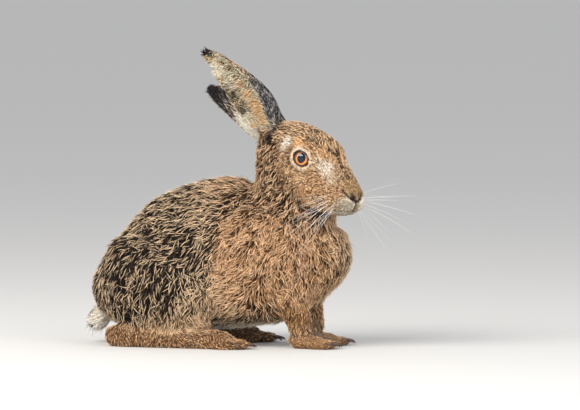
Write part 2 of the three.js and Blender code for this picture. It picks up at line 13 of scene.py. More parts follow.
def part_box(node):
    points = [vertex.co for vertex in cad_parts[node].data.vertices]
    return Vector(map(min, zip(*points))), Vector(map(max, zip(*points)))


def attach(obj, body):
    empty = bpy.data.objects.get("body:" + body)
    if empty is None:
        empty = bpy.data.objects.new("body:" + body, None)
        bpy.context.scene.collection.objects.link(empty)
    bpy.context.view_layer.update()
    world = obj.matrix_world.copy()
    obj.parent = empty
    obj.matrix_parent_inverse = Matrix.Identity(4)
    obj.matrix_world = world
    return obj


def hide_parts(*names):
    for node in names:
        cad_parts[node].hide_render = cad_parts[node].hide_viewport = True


bl_info = {
    "name": "Brown hare",
    "version": (1, 0, 0),
    "blender": (4, 5, 0),
    "location": "View3D > Sidebar > Hare",
    "description": "Dresses the packed hare with skin, coat, eyes, whiskers and claws",
    "category": "Object",
}

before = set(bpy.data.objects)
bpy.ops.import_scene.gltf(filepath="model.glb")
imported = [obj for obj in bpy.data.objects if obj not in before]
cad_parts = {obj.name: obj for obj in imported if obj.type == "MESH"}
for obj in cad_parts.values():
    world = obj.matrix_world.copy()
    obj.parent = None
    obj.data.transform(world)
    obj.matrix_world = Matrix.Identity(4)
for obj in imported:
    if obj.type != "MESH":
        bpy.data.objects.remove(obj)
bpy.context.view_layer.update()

MM = 0.001
SIDES = {"right": -1, "left": 1}
MIRROR = np.array([1, -1, 1])
TINY = 1e-12

# Where the camera stands, and how the picture is laid over the hare
CAMERA_TURN = math.radians(15)
CAMERA_RISE = math.radians(3)
CAMERA_DISTANCE = 6.0
PICTURE_SIZE = (580, 410)
PICTURE_SCALE = 0.96 * MM
PICTURE_ORIGIN = (230, 345)
SENSOR_WIDTH = 36.0

# The head's own frame: X to the nose, Y to the left, Z to the crown
HEAD_TURN = math.radians(-31)
HEAD_DROP = math.radians(30)
EYES_IN_HEAD = np.array([37.2, 0, 10.2]) * MM
EYE_ASIDE = np.array([0, 19.4, 0]) * MM
EYE_LOOK = np.array([0.34, 0.9, 0.2])
EYE_RADIUS = 10.5 * MM
EYE_OPENING = 6.8 * MM
CANTHUS_TURN = math.radians(-8)
CANTHUS_SHARPNESS = 10
CANTHUS_DRAW = 0.2
EYE_LENGTHENING = 0.09
EYE_FRONT = 2 * MM
MUZZLE_CENTRE = np.array([84, 0, -9]) * MM
PAD_CENTRE = np.array([87, 17, -9]) * MM
PAD_REACH = np.array([10, 6, 8]) * MM
RUMP_X = -136 * MM
TAIL_STRIPE = 7.5 * MM
EAR_STEPS = 14
EAR_REACH = 110 * MM
EAR_HALF_WIDTH = 19 * MM

# The ears in the head's frame: root, tip, the way the cup opens and how far the middle bends
EARS = {
    "right": {
        "root": (-12, -14, 6), "tip": (-119.5, -34, 33.5), "open": (0.38, -0.86, -0.3), "bend": (-2, -1, 3),
    },
    "left": {
        "root": (-17.5, 12, -3), "tip": (-128.5, 4, -14), "open": (0.1, 0.92, -0.3), "bend": (-2, 8, -2),
    },
}


def middle(name):
    low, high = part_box(name)
    return np.array((low + high) / 2)


def body_origin():
    low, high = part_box("torso")
    return np.array([low.x - RUMP_X, (low.y + high.y) / 2, 0.0])


def unit(vectors):
    vectors = np.asarray(vectors, float)
    return vectors / np.maximum(np.linalg.norm(vectors, axis=-1, keepdims=True), TINY)


ORIGIN = body_origin()
HEAD_AXES = np.array(Matrix.Rotation(HEAD_TURN, 3, "Z") @ Matrix.Rotation(HEAD_DROP, 3, "Y"))
HEAD_ORIGIN = (middle("eye_right") + middle("eye_left")) / 2 - HEAD_AXES @ EYES_IN_HEAD

CAMERA_RIGHT = np.array([math.cos(CAMERA_TURN), math.sin(CAMERA_TURN), 0])
CAMERA_BACK = np.array([
    math.sin(CAMERA_TURN) * math.cos(CAMERA_RISE),
    -math.cos(CAMERA_TURN) * math.cos(CAMERA_RISE),
    math.sin(CAMERA_RISE),
])
CAMERA_UP = np.cross(CAMERA_BACK, CAMERA_RIGHT)


def to_head(points):
    return (np.asarray(points) - HEAD_ORIGIN) @ HEAD_AXES


def from_head(points):
    return HEAD_ORIGIN + np.asarray(points) @ HEAD_AXES.T


def body_mirror(points):
    return (points - ORIGIN) * MIRROR + ORIGIN


def head_mirror(points):
    return from_head(to_head(points) * MIRROR)


def picture_point(px, py):
    """A point of the picture's plane through the body's origin."""
    across = (px - PICTURE_ORIGIN[0]) * PICTURE_SCALE
    up = (PICTURE_ORIGIN[1] - py) * PICTURE_SCALE
    return ORIGIN + CAMERA_RIGHT * across + CAMERA_UP * up


def camera_place():
    centre = picture_point(PICTURE_SIZE[0] / 2, PICTURE_SIZE[1] / 2)
    return centre + CAMERA_BACK * CAMERA_DISTANCE


def shade(code):
    return tuple(int(code[i:i + 2], 16) / 255 for i in (0, 2, 4))


def linear(colour):
    """From a screen's values to linear ones, by the usual curve."""
    colour = np.asarray(colour, float)[:3]
    return np.where(colour <= 0.04045, colour / 12.92, ((colour + 0.055) / 1.055) ** 2.4)


def settings():
    return bpy.context.scene.hare_sizes


def colours():
    return bpy.context.scene.hare_colours


def colour(name):
    return linear(getattr(colours(), name))


# A random field is a sum of waves, some coarser and some finer than the size asked for
RIPPLE_WAVES = 14
RIPPLE_SPREAD = (0.6, 1.5)
RIPPLE_HEIGHT = 0.7


def ripple(points, size, seed):
    """A smooth random field between about -1 and 1, with swells of the given size."""
    draw = np.random.default_rng(seed)
    ways = unit(draw.normal(size=(RIPPLE_WAVES, 3)))
    ways = ways * draw.uniform(*RIPPLE_SPREAD, (RIPPLE_WAVES, 1)) * (2 * math.pi / size)
    phases = draw.uniform(0, 2 * math.pi, RIPPLE_WAVES)
    swells = np.sin(np.asarray(points) @ ways.T + phases).sum(1)
    return swells * math.sqrt(2 / RIPPLE_WAVES) * RIPPLE_HEIGHT


def between(low, high, share):
    return low + (high - low) * share


def blended(first, second, share):
    """The first with the given share of the second in it."""
    return first * (1 - share) + second * share


def soft_step(value, low, high):
    """Rises gently from 0 at the low value to 1 at the high one."""
    t = np.clip((value - low) / (high - low), 0, 1)
    return t * t * (3 - 2 * t)


def soft_spot(distance):
    """About 1 inside a distance of 1 and about 0 outside it, with a soft edge."""
    return np.exp(-distance ** 4)


# Meshes from arrays

def mesh_object(name, points, faces, smooth=True):
    """An object of points and faces, each face a row of vertex numbers."""
    faces = np.asarray(faces, np.int32)
    sides = faces.shape[1]
    mesh = bpy.data.meshes.new(name)
    mesh.vertices.add(len(points))
    mesh.vertices.foreach_set("co", np.asarray(points, np.float32).ravel())
    mesh.loops.add(faces.size)
    mesh.loops.foreach_set("vertex_index", faces.ravel())
    mesh.polygons.add(len(faces))
    mesh.polygons.foreach_set("loop_start", np.arange(0, faces.size, sides, dtype=np.int32))
    mesh.polygons.foreach_set("loop_total", np.full(len(faces), sides, np.int32))
    mesh.update(calc_edges=True)
    mesh.validate()
    mesh.polygons.foreach_set("use_smooth", np.full(len(mesh.polygons), smooth))
    piece = bpy.data.objects.new(name, mesh)
    bpy.context.scene.collection.objects.link(piece)
    return piece


def paint(mesh, name, rgb):
    """Keeps a colour at each point; one colour alone is laid all over."""
    layer = mesh.color_attributes.new(name, "FLOAT_COLOR", "POINT")
    rgba = np.ones((len(mesh.vertices), 4), np.float32)
    rgba[:, :3] = rgb
    layer.data.foreach_set("color", rgba.ravel())


def keep_values(mesh, name, values):
    values = np.asarray(values, np.float32)
    kind, what = ("FLOAT_VECTOR", "vector") if values.ndim == 2 else ("FLOAT", "value")
    layer = mesh.attributes.new(name, kind, "POINT")
    layer.data.foreach_set(what, values.ravel())


def read_array(items, what, kind=np.float32, width=3):
    """What each of a mesh's items holds, one row for each item."""
    values = np.empty(len(items) * width, kind)
    items.foreach_get(what, values)
    return values.reshape(-1, width)


def read_values(mesh, name):
    layer = mesh.attributes[name]
    if layer.data_type == "FLOAT_VECTOR":
        return read_array(layer.data, "vector").astype(float)
    return read_array(layer.data, "value", width=1)[:, 0].astype(float)


def vertex_array(mesh, what="co"):
    return read_array(mesh.vertices, what).astype(float)


def edge_array(mesh):
    return read_array(mesh.edges, "vertices", np.int32, 2)


def corner_array(mesh):
    return read_array(mesh.loops, "vertex_index", np.int32, 1).ravel()


def triangle_array(mesh):
    mesh.calc_loop_triangles()
    return read_array(mesh.loop_triangles, "vertices", np.int32)


# How far one round of evening moves a value in towards its neighbours, and back out again
EVENING_SHARE = 0.6
SPREADING_SHARE = 0.62


def neighbour_mean(values, edges):
    """The mean of the values at the points that share an edge with each point."""
    count = len(values)
    a, b = edges[:, 0], edges[:, 1]
    shares = np.bincount(a, minlength=count) + np.bincount(b, minlength=count)
    columns = values.reshape(count, -1)
    total = np.stack([
        np.bincount(a, columns[b, i], count) + np.bincount(b, columns[a, i], count)
        for i in range(columns.shape[1])
    ], 1)
    return (total / np.maximum(shares, 1)[:, None]).reshape(values.shape)


def drawn_in(values, edges, share):
    return values + share * (neighbour_mean(values, edges) - values)


def evened(values, edges, rounds):
    for _ in range(rounds):
        values = drawn_in(values, edges, EVENING_SHARE)
    return values


def smooth_form(points, edges, weights, rounds):
    """Evens the surface without shrinking it: each step in is followed by a slightly longer one out."""
    for _ in range(rounds):
        points = drawn_in(points, edges, EVENING_SHARE * weights[:, None])
        points = drawn_in(points, edges, -SPREADING_SHARE * weights[:, None])
    return points


# The skin: one surface over all the flesh, inside the coat

FLESH = (
    "torso", "neck", "tail", "head", "ear_right", "ear_left",
    "shoulder_right", "shoulder_left", "foreleg_right", "foreleg_left", "forepaw_right", "forepaw_left",
    "haunch_right", "haunch_left", "hind_foot_right", "hind_foot_left",
)
PADS = ("whisker_pad_right", "whisker_pad_left")
PAD_SEGMENTS = (20, 12)
FLESH_GROWTH = 0.45 * MM
SAME_PLACE = 0.01 * MM

# For each kind of flesh: the coat's depth, the length and width of a tuft, how far its root and its tip rise
# (as shares of its length), how much tufts wander (degrees) and gather at their tips
COAT_PLAN = {
    "torso": (4.2, 12.0, 0.98, 0.52, 0.24, 28, 0.5),
    "neck": (4.4, 10.0, 1.0, 0.5, 0.24, 27, 0.55),
    "haunch": (4.4, 12.0, 0.98, 0.52, 0.24, 28, 0.5),
    "shoulder": (4.2, 10.5, 1.0, 0.48, 0.24, 27, 0.55),
    "foreleg": (2.6, 8.5, 1.0, 0.48, 0.24, 20, 0.6),
    "forepaw": (1.0, 4.2, 0.75, 0.4, 0.18, 10, 0.3),
    "hind_foot": (1.2, 5.0, 0.8, 0.4, 0.2, 12, 0.3),
    "tail": (5.0, 13.0, 1.0, 0.6, 0.35, 20, 0.5),
    "head": (2.3, 7.0, 0.9, 0.44, 0.2, 20, 0.55),
    "ear": (0.35, 8.2, 0.68, 0.28, 0.12, 14, 0.45),
}
PLAN_COLUMNS = ("depth", "length", "width", "rise", "tip_rise", "wander", "gather")
DEPTH, LENGTH, WIDTH = range(3)

# Kinds of flesh and nodes whose share is kept for every point of the skin
SHARED_KINDS = ("head", "tail", "ear", "ear_right", "ear_left")

# Rounds of evening: for the coat plan, the shares and the looks where parts meet, for the normals that the
# coat's depth and its lie follow, and for the form of the skin
PLAN_ROUNDS = 10
SHARE_ROUNDS = 5
LOOK_ROUNDS = 6
DEPTH_ROUNDS = 3
LIE_ROUNDS = 2
FORM_ROUNDS = 18


def kind_of(node):
    return node.replace("_right", "").replace("_left", "")


def flesh_copy(name):
    copy = bmesh.new()
    copy.from_mesh(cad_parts[name].data)
    bmesh.ops.remove_doubles(copy, verts=copy.verts, dist=SAME_PLACE)
    copy.normal_update()
    for vertex in copy.verts:
        vertex.co += vertex.normal * FLESH_GROWTH
    mesh = bpy.data.meshes.new(name + "_flesh")
    copy.to_mesh(mesh)
    copy.free()
    return mesh


def pad_mesh(side):
    """The swelling that the whiskers grow from."""
    across, up = PAD_SEGMENTS
    form = bmesh.new()
    bmesh.ops.create_uvsphere(form, u_segments=across, v_segments=up, radius=1)
    for vertex in form.verts:
        local = PAD_CENTRE * (1, side, 1) + np.array(vertex.co) * (PAD_REACH + FLESH_GROWTH)
        vertex.co = from_head(local)
    mesh = bpy.data.meshes.new("pad_flesh")
    form.to_mesh(mesh)
    form.free()
    return mesh


def remeshed(meshes, voxel):
    """One closed surface round all the given meshes."""
    joined = bmesh.new()
    for mesh in meshes:
        joined.from_mesh(mesh)
        bpy.data.meshes.remove(mesh)
    whole = bpy.data.meshes.new("skin_form")
    joined.to_mesh(whole)
    joined.free()
    form = bpy.data.objects.new("skin_form", whole)
    bpy.context.scene.collection.objects.link(form)
    remesh = form.modifiers.new("remesh", "REMESH")
    remesh.mode = "VOXEL"
    remesh.voxel_size = voxel
    bpy.context.view_layer.update()
    evaluated = form.evaluated_get(bpy.context.evaluated_depsgraph_get())
    mesh = bpy.data.meshes.new_from_object(evaluated)
    bpy.data.objects.remove(form)
    bpy.data.meshes.remove(whole)
    return mesh


def largest_surface(points, quads):
    """Only the surface with the most points is kept."""
    label = np.arange(len(points))
    while True:
        lowest = label[quads].min(1)
        fresh = label.copy()
        for corner in range(4):
            np.minimum.at(fresh, quads[:, corner], lowest)
        fresh = fresh[fresh]
        if np.array_equal(fresh, label):
            break
        label = fresh
    names, counts = np.unique(label, return_counts=True)
    keep = label == names[counts.argmax()]
    number = np.cumsum(keep) - 1
    return points[keep], number[quads[keep[quads].all(1)]]


def nearest_nodes(points):
    """For each point, the number in FLESH of the node that it lies on."""
    corners, faces, owners = [], [], []
    start = 0
    for number, name in enumerate(FLESH):
        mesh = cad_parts[name].data
        triangles = triangle_array(mesh)
        corners.append(vertex_array(mesh))
        faces.append(triangles + start)
        owners.append(np.full(len(triangles), number))
        start += len(mesh.vertices)
    tree = BVHTree.FromPolygons(np.concatenate(corners).tolist(), np.concatenate(faces).tolist())
    owners = np.concatenate(owners)
    return np.array([owners[tree.find_nearest(point)[2]] for point in points.tolist()])


def plan_values(node_numbers, edges):
    """The coat plan's numbers at each point of the skin, blended where one part meets the next."""
    rows = np.array([COAT_PLAN[kind_of(name)] for name in FLESH], float)
    return evened(rows[node_numbers], edges, PLAN_ROUNDS)


def share_of(kind, node_numbers, edges):
    """How much each point belongs to a node or a kind of flesh, from 0 to 1, with soft borders."""
    inside = np.array([kind in (name, kind_of(name)) for name in FLESH], float)
    return evened(inside[node_numbers], edges, SHARE_ROUNDS)


def eye_frame(side):
    look = unit(EYE_LOOK * (1, side, 1))
    aside = unit(np.cross((0, 0, 1), look)) * -side
    up = np.cross(look, aside) * -side
    return look, aside, up


def eye_turns(local, side):
    """Height along the look of an eye, distance from that line and the turn round it."""
    look, aside, up = eye_frame(side)
    away = local - EYES_IN_HEAD - EYE_ASIDE * side
    along = away @ look
    across = away - along[:, None] * look
    return along, np.linalg.norm(across, axis=1), np.arctan2(across @ up, across @ aside)


def opening_radius(turn):
    """The lids' edge, a little longer than high and drawn out to a point in the front corner."""
    corner = np.maximum(np.cos(turn - CANTHUS_TURN), 0) ** CANTHUS_SHARPNESS
    oval = EYE_LENGTHENING * np.cos(2 * (turn - CANTHUS_TURN))
    return EYE_OPENING * (1 + CANTHUS_DRAW * corner + oval)


def way(turn, rise):
    """A direction from its turn to the left and its rise, both in degrees."""
    a, b = np.radians(turn), np.radians(rise)
    return np.stack([np.cos(b) * np.cos(a), np.cos(b) * np.sin(a), np.sin(b)], -1)


def on_skin(tree, centre, ways):
    """Points where rays from a centre inside the head meet the skin, in the head's frame."""
    start = from_head(centre)
    found = []
    for one in ways:
        hit = tree.ray_cast(start, HEAD_AXES @ one)
        if hit[0] is None:
            raise RuntimeError("A ray from inside the head missed the skin")
        found.append(np.array(hit[0]))
    return to_head(np.array(found))


# Lines of the nose and mouth, in degrees of turn and rise as seen from the middle of the muzzle
PHILTRUM_TURN = -4
PHILTRUM_RISES = (28, -4)
NOSTRIL_TURNS = (2, 56)
NOSTRIL_RISES = (28, 51)
MOUTH_TURN = 96
MOUTH_RISES = (-4, -42)


def nostril_way(side, steps=9):
    t = np.linspace(0, 1, steps)
    return way(PHILTRUM_TURN + side * between(*NOSTRIL_TURNS, t), between(*NOSTRIL_RISES, t))


def mouth_way(steps=41):
    share = np.linspace(-1, 1, steps)
    return way(share * MOUTH_TURN, between(*MOUTH_RISES, share ** 2))


def philtrum_way(steps=12):
    return way(np.full(steps, PHILTRUM_TURN), np.linspace(*PHILTRUM_RISES, steps))


def distance_to_line(points, line):
    best = np.full(len(points), np.inf)
    for a, b in zip(line[:-1], line[1:]):
        span = b - a
        t = np.clip((points - a) @ span / (span @ span), 0, 1)
        best = np.minimum(best, np.linalg.norm(points - a - t[:, None] * span, axis=1))
    return best


# The lie of the coat, read in the picture: a pixel, and the way the hairs point there in degrees,
# 0 to the right and 90 up

BODY_LIE = (
    (250, 176, 215), (232, 183, 188), (205, 187, 188), (180, 198, 192), (158, 212, 205), (138, 232, 218),
    (122, 252, 228), (110, 276, 240), (200, 205, 196), (175, 222, 203), (150, 245, 215), (140, 275, 250),
    (228, 205, 205), (205, 228, 208), (180, 250, 222), (165, 280, 262), (195, 285, 262), (215, 250, 238),
    (240, 238, 238), (232, 262, 225), (228, 285, 190), (222, 305, 215), (250, 285, 215), (255, 305, 235),
    (262, 215, 232), (285, 222, 240), (300, 232, 252), (318, 232, 262), (332, 240, 278), (275, 250, 246),
    (300, 262, 262), (322, 270, 280), (335, 285, 284), (275, 282, 300), (262, 298, 322), (298, 292, 262),
    (305, 312, 250), (250, 195, 226), (262, 180, 222), (270, 200, 236), (240, 220, 222),
)
HEAD_LIE = (
    (356, 186, 128), (350, 172, 126), (340, 158, 130), (333, 145, 138), (318, 136, 150), (300, 130, 162),
    (285, 127, 172), (272, 138, 195), (262, 148, 215), (290, 141, 168), (310, 144, 148), (322, 155, 140),
    (283, 150, 188), (278, 160, 212), (270, 175, 230), (285, 172, 235), (285, 190, 236), (300, 173, 205),
    (300, 185, 226), (312, 178, 200), (322, 172, 142), (330, 178, 150), (318, 192, 214), (330, 195, 196),
    (330, 207, 204), (342, 200, 200), (345, 189, 150), (347, 209, 222), (352, 192, 150), (354, 206, 236),
    (316, 208, 214), (300, 200, 226), (262, 165, 222),
)

# The lie where the picture doesn't show it: a place in the body's own frame in millimetres, and a direction
HIDDEN_LIE = (
    ((-135, 0, 60), (-0.2, 0, -1)), ((-120, 0, 22), (-1, 0, -0.4)), ((-60, 0, 14), (-1, 0, 0)),
    ((20, 0, 16), (-1, 0, 0)), ((90, 0, 40), (-0.5, 0, -1)), ((104, 0, 100), (0, 0, -1)),
    ((100, 0, 140), (0.1, 0, -1)), ((-60, -58, 20), (-0.6, 0, -1)), ((75, -30, 25), (-0.2, 0, -1)),
    ((75, -16, 40), (-0.2, 0, -1)), ((75, -36, 8), (1, 0, -0.5)), ((100, -30, 8), (1, 0, -0.1)),
    ((-95, -44, 20), (0.1, 0, -1)), ((-60, -44, 22), (1, 0, -0.3)), ((-20, -44, 18), (1, 0, -0.2)),
    ((25, -44, 8), (1, 0, -0.1)), ((0, -30, 24), (-0.6, 0, -0.6)),
)


def picture_way(angle):
    a = math.radians(angle)
    return CAMERA_RIGHT * math.cos(a) + CAMERA_UP * math.sin(a)


def seen_point(tree, px, py):
    """The point of the skin that the camera sees at a pixel, or the nearest one, and its normal."""
    start = camera_place()
    hit = tree.ray_cast(start, unit(picture_point(px, py) - start))
    if hit[0] is None:
        hit = tree.find_nearest(picture_point(px, py))
    return np.array(hit[0]), np.array(hit[1])


def flat_on(vectors, normals):
    """The part of each vector that lies along the surface."""
    return unit(vectors - (vectors * normals).sum(-1, keepdims=True) * normals)


def guides_from_picture(tree, rows):
    places, ways = [], []
    for px, py, angle in rows:
        point, normal = seen_point(tree, px, py)
        places.append(point)
        ways.append(flat_on(picture_way(angle), normal))
    return np.array(places), np.array(ways)


def mirrored(places, ways, in_head):
    """The same guides on the other side of the head or of the body."""
    if in_head:
        return head_mirror(places), (ways @ HEAD_AXES) * MIRROR @ HEAD_AXES.T
    return body_mirror(places), ways * MIRROR


# How far round a guide the hair follows it closely
BODY_SOFTNESS = 9 * MM
HEAD_SOFTNESS = 5 * MM


def led_by(points, places, ways, softness):
    """Directions at the points, each led most by the nearest guides."""
    total = np.zeros_like(points)
    for place, one in zip(places, ways):
        away = ((points - place) ** 2).sum(1)
        total += one / (away + softness ** 2)[:, None] ** 2
    return unit(total)


def led_from_both_sides(points, places, ways, in_head, softness):
    """Directions led by the guides of the picture's side and by the same ones on the far side."""
    far, far_ways = mirrored(places, ways, in_head)
    return led_by(points, np.concatenate([places, far]), np.concatenate([ways, far_ways]), softness)


def lie_of_coat(tree, points, normals, shares):
    """The way the hair points: as the body's, the head's and the ears' hair does, blended."""
    body, body_ways = guides_from_picture(tree, BODY_LIE)
    hidden = ORIGIN + np.array([place for place, _ in HIDDEN_LIE]) * MM
    hidden_ways = unit([towards for _, towards in HIDDEN_LIE])
    body = np.concatenate([body, hidden])
    body_ways = np.concatenate([body_ways, hidden_ways])
    on_body = led_from_both_sides(points, body, body_ways, False, BODY_SOFTNESS)
    head, head_ways = guides_from_picture(tree, HEAD_LIE)
    on_head = led_from_both_sides(points, head, head_ways, True, HEAD_SOFTNESS)
    lie = blended(on_body, on_head, shares["head"][:, None])
    for side in EARS:
        owned = shares["ear_" + side]
        place = ear_place(points, normals, side, owned)
        on_ear = blended(place["outer_way"], place["inner_way"], place["inside"][:, None])
        lie = blended(lie, on_ear, owned[:, None])
    return flat_on(lie, normals)


def share_across(t, aside, chosen):
    """How far points lie from the middle of the ear to its rims, from -1 to 1, at each step along it."""
    steps = np.linspace(0, 1, EAR_STEPS + 1)
    number = np.rint(t * EAR_STEPS).astype(int)
    low, high = np.zeros(EAR_STEPS + 1), np.full(EAR_STEPS + 1, MM)
    np.minimum.at(low, number[chosen], aside[chosen])
    np.maximum.at(high, number[chosen], aside[chosen])
    low, high = np.interp(t, steps, low), np.interp(t, steps, high)
    return np.clip(2 * (aside - low) / (high - low) - 1, -1, 1)


# The rim of an ear, as shares of its half width, and the border between its inner and outer face
EAR_RIM = (0.72, 0.95)
EAR_BORDER = (-0.1, 0.1)

# Inside the ear the hair points across it, and more along it towards the rims
INNER_ALONG = 0.45
INNER_ALONG_GAIN = 1.2
INNER_ACROSS_LOSS = 0.8


def ear_place(points, normals, side, owned):
    """Where points lie on an ear: along it, across it towards its upper rim, and on which face."""
    ear = {key: np.array(value, float) for key, value in EARS[side].items()}
    root, tip = ear["root"] * MM, ear["tip"] * MM
    bent = (root + tip) / 2 + ear["bend"] * MM
    local = to_head(points)
    span = tip - root
    t = np.clip((local - root) @ span / (span @ span), 0, 1)[:, None]
    centre = root * (1 - t) * (1 - 2 * t) + bent * 4 * t * (1 - t) + tip * t * (2 * t - 1)
    along = unit(root * (4 * t - 3) + bent * (4 - 8 * t) + tip * (4 * t - 1))
    facing = unit(ear["open"] - (along @ ear["open"])[:, None] * along)
    across = np.cross(along, facing)
    across = across * np.sign((across @ HEAD_AXES.T)[:, 2].mean())
    t = t[:, 0]
    rim = share_across(t, ((local - centre) * across).sum(1), owned > 0.5)
    edge = soft_step(np.abs(rim), *EAR_RIM)[:, None]
    turned = normals @ HEAD_AXES
    faced = (turned * facing).sum(1) * (1 - np.abs(rim)) - (turned * across).sum(1) * rim
    leaning = along * (INNER_ALONG + INNER_ALONG_GAIN * edge)
    inner_way = unit(leaning - across * (1 - INNER_ACROSS_LOSS * edge))
    return {
        "t": t,
        "rim": rim,
        "inside": soft_step(faced, *EAR_BORDER),
        "inner_way": inner_way @ HEAD_AXES.T,
        "outer_way": along @ HEAD_AXES.T,
    }


# Markings, the same on skin and coat. A look is the colour at the root, middle and tip of a tuft, by name
# or mixed from two with the share of the second, and the shares of tufts that stay dark and that are paler
LOOKS = {
    "back": ("dark_root", ("dark_root", "cream", 0.18), ("cream", "dark_root", 0.2), 0.82, 0.16),
    "rump": ("dark_root", ("dark_root", "cream", 0.14), ("cream", "dark_root", 0.2), 0.83, 0.13),
    "withers": ("dark_root", ("rufous_root", "cream", 0.3), ("cream", "rufous", 0.3), 0.32, 0.3),
    "neck": ("dark_root", ("rufous_root", "rufous", 0.5), ("cream", "rufous", 0.4), 0.72, 0.16),
    "rufous": ("rufous_root", "rufous", ("rufous", "cream", 0.6), 0.42, 0.2),
    "rust": (("rust", "dark_root", 0.6), "rust", ("rust", "cream", 0.4), 0.4, 0.2),
    "low_flank": ("rufous_root", ("rufous", "cream", 0.5), ("cream", "rufous", 0.2), 0.25, 0.35),
    "chest": ("rufous_root", ("rufous", "cream", 0.5), "cream", 0.2, 0.3),
    "belly": (("cream", "white", 0.4), "white", "white", 0.0, 0.3),
    "foot": ("rufous_root", ("rufous", "rust", 0.3), ("rufous", "cream", 0.75), 0.22, 0.25),
    "tail": ("white", "white", "white", 0.0, 0.3),
    "black": ("black", "black", ("black", "cream", 0.12), 0.3, 0.0),
    "face": ("rufous_root", ("face", "rufous_root", 0.2), ("face", "cream", 0.55), 0.42, 0.27),
    "crown": ("dark_root", ("face", "dark_root", 0.25), ("face", "cream", 0.6), 0.58, 0.28),
    "cheek": (
        ("dark_root", "rufous_root", 0.5), ("face", "rufous_root", 0.5), ("cream", "face", 0.5), 0.66, 0.19,
    ),
    "jaw": ("rufous_root", ("rufous", "face", 0.5), ("rufous", "cream", 0.5), 0.32, 0.3),
    "brow": (("rufous", "rufous_root", 0.5), "brow", ("brow", "cream", 0.5), 0.2, 0.4),
    "ring": (("face", "cream", 0.4), ("cream", "white", 0.5), ("cream", "white", 0.6), 0.22, 0.3),
    "white": (("face", "rufous_root", 0.4), "white", "white", 0.24, 0.4),
    "pale": (("face", "rufous_root", 0.5), ("cream", "lip", 0.5), ("white", "cream", 0.3), 0.4, 0.3),
    "nose": (("dark_root", "face", 0.5), ("nose", "dark_root", 0.1), ("nose", "cream", 0.3), 0.42, 0.2),
    "lip": (("lip", "dark_root", 0.55), "lip", ("lip", "white", 0.5), 0.44, 0.22),
    "muzzle": (("lip", "dark_root", 0.6), ("nose", "lip", 0.45), ("lip", "face", 0.4), 0.42, 0.2),
    "fleck": ("black", "dark_root", ("dark_root", "face", 0.15), 0.8, 0.0),
    "ear_inside": (
        ("rufous_root", "ear_inside", 0.25), "ear_inside", ("ear_inside", "white", 0.5), 0.44, 0.3,
    ),
    "ear_fringe": (("ear_fringe", "dark_root", 0.3), "ear_fringe", ("ear_fringe", "cream", 0.5), 0.15, 0.2),
    "ear_outside": ("black", "ear_outside", ("ear_outside", "white", 0.4), 0.64, 0.2),
    "ear_back": (("ear_inside", "ear_outside", 0.3), ("white", "lip", 0.5), "white", 0.1, 0.3),
    "ear_hollow": ("black", ("dark_root", "face", 0.3), ("face", "ear_inside", 0.3), 0.68, 0.15),
}

# The numbers of a look, in a row: three colours, then the two shares
ROOT, MIDDLE, TIP = slice(0, 3), slice(3, 6), slice(6, 9)
DARK, PALE = 9, 10


BASE_LOOKS = {
    "torso": "back", "haunch": "back", "neck": "neck", "shoulder": "rufous", "foreleg": "rust",
    "forepaw": "rust", "hind_foot": "foot", "tail": "tail", "head": "face", "ear": "ear_outside",
}

# Markings read in the picture: a pixel, the reach in millimetres, the look and its strength
BODY_MARKS = (
    (238, 188, 26, "withers", 0.8), (212, 200, 24, "withers", 0.4), (255, 205, 26, "neck", 0.8),
    (120, 262, 26, "rump", 0.8), (150, 262, 30, "rump", 0.7), (112, 290, 22, "rump", 0.8),
    (250, 258, 34, "rufous", 1.0), (285, 255, 38, "rufous", 0.9), (315, 245, 30, "rufous", 0.9),
    (325, 280, 28, "rufous", 0.9), (240, 288, 26, "rufous", 1.0), (285, 290, 34, "rufous", 0.9),
    (340, 240, 22, "chest", 0.35), (300, 315, 20, "rust", 0.9), (325, 300, 14, "rust", 0.5),
    (232, 308, 18, "low_flank", 0.7), (222, 285, 11, "low_flank", 0.6), (258, 170, 8, "rust", 0.5),
    (195, 300, 20, "low_flank", 0.35), (150, 235, 22, "rump", 0.6), (130, 245, 18, "rump", 0.7),
    (244, 181, 18, "rufous", 0.4),
)
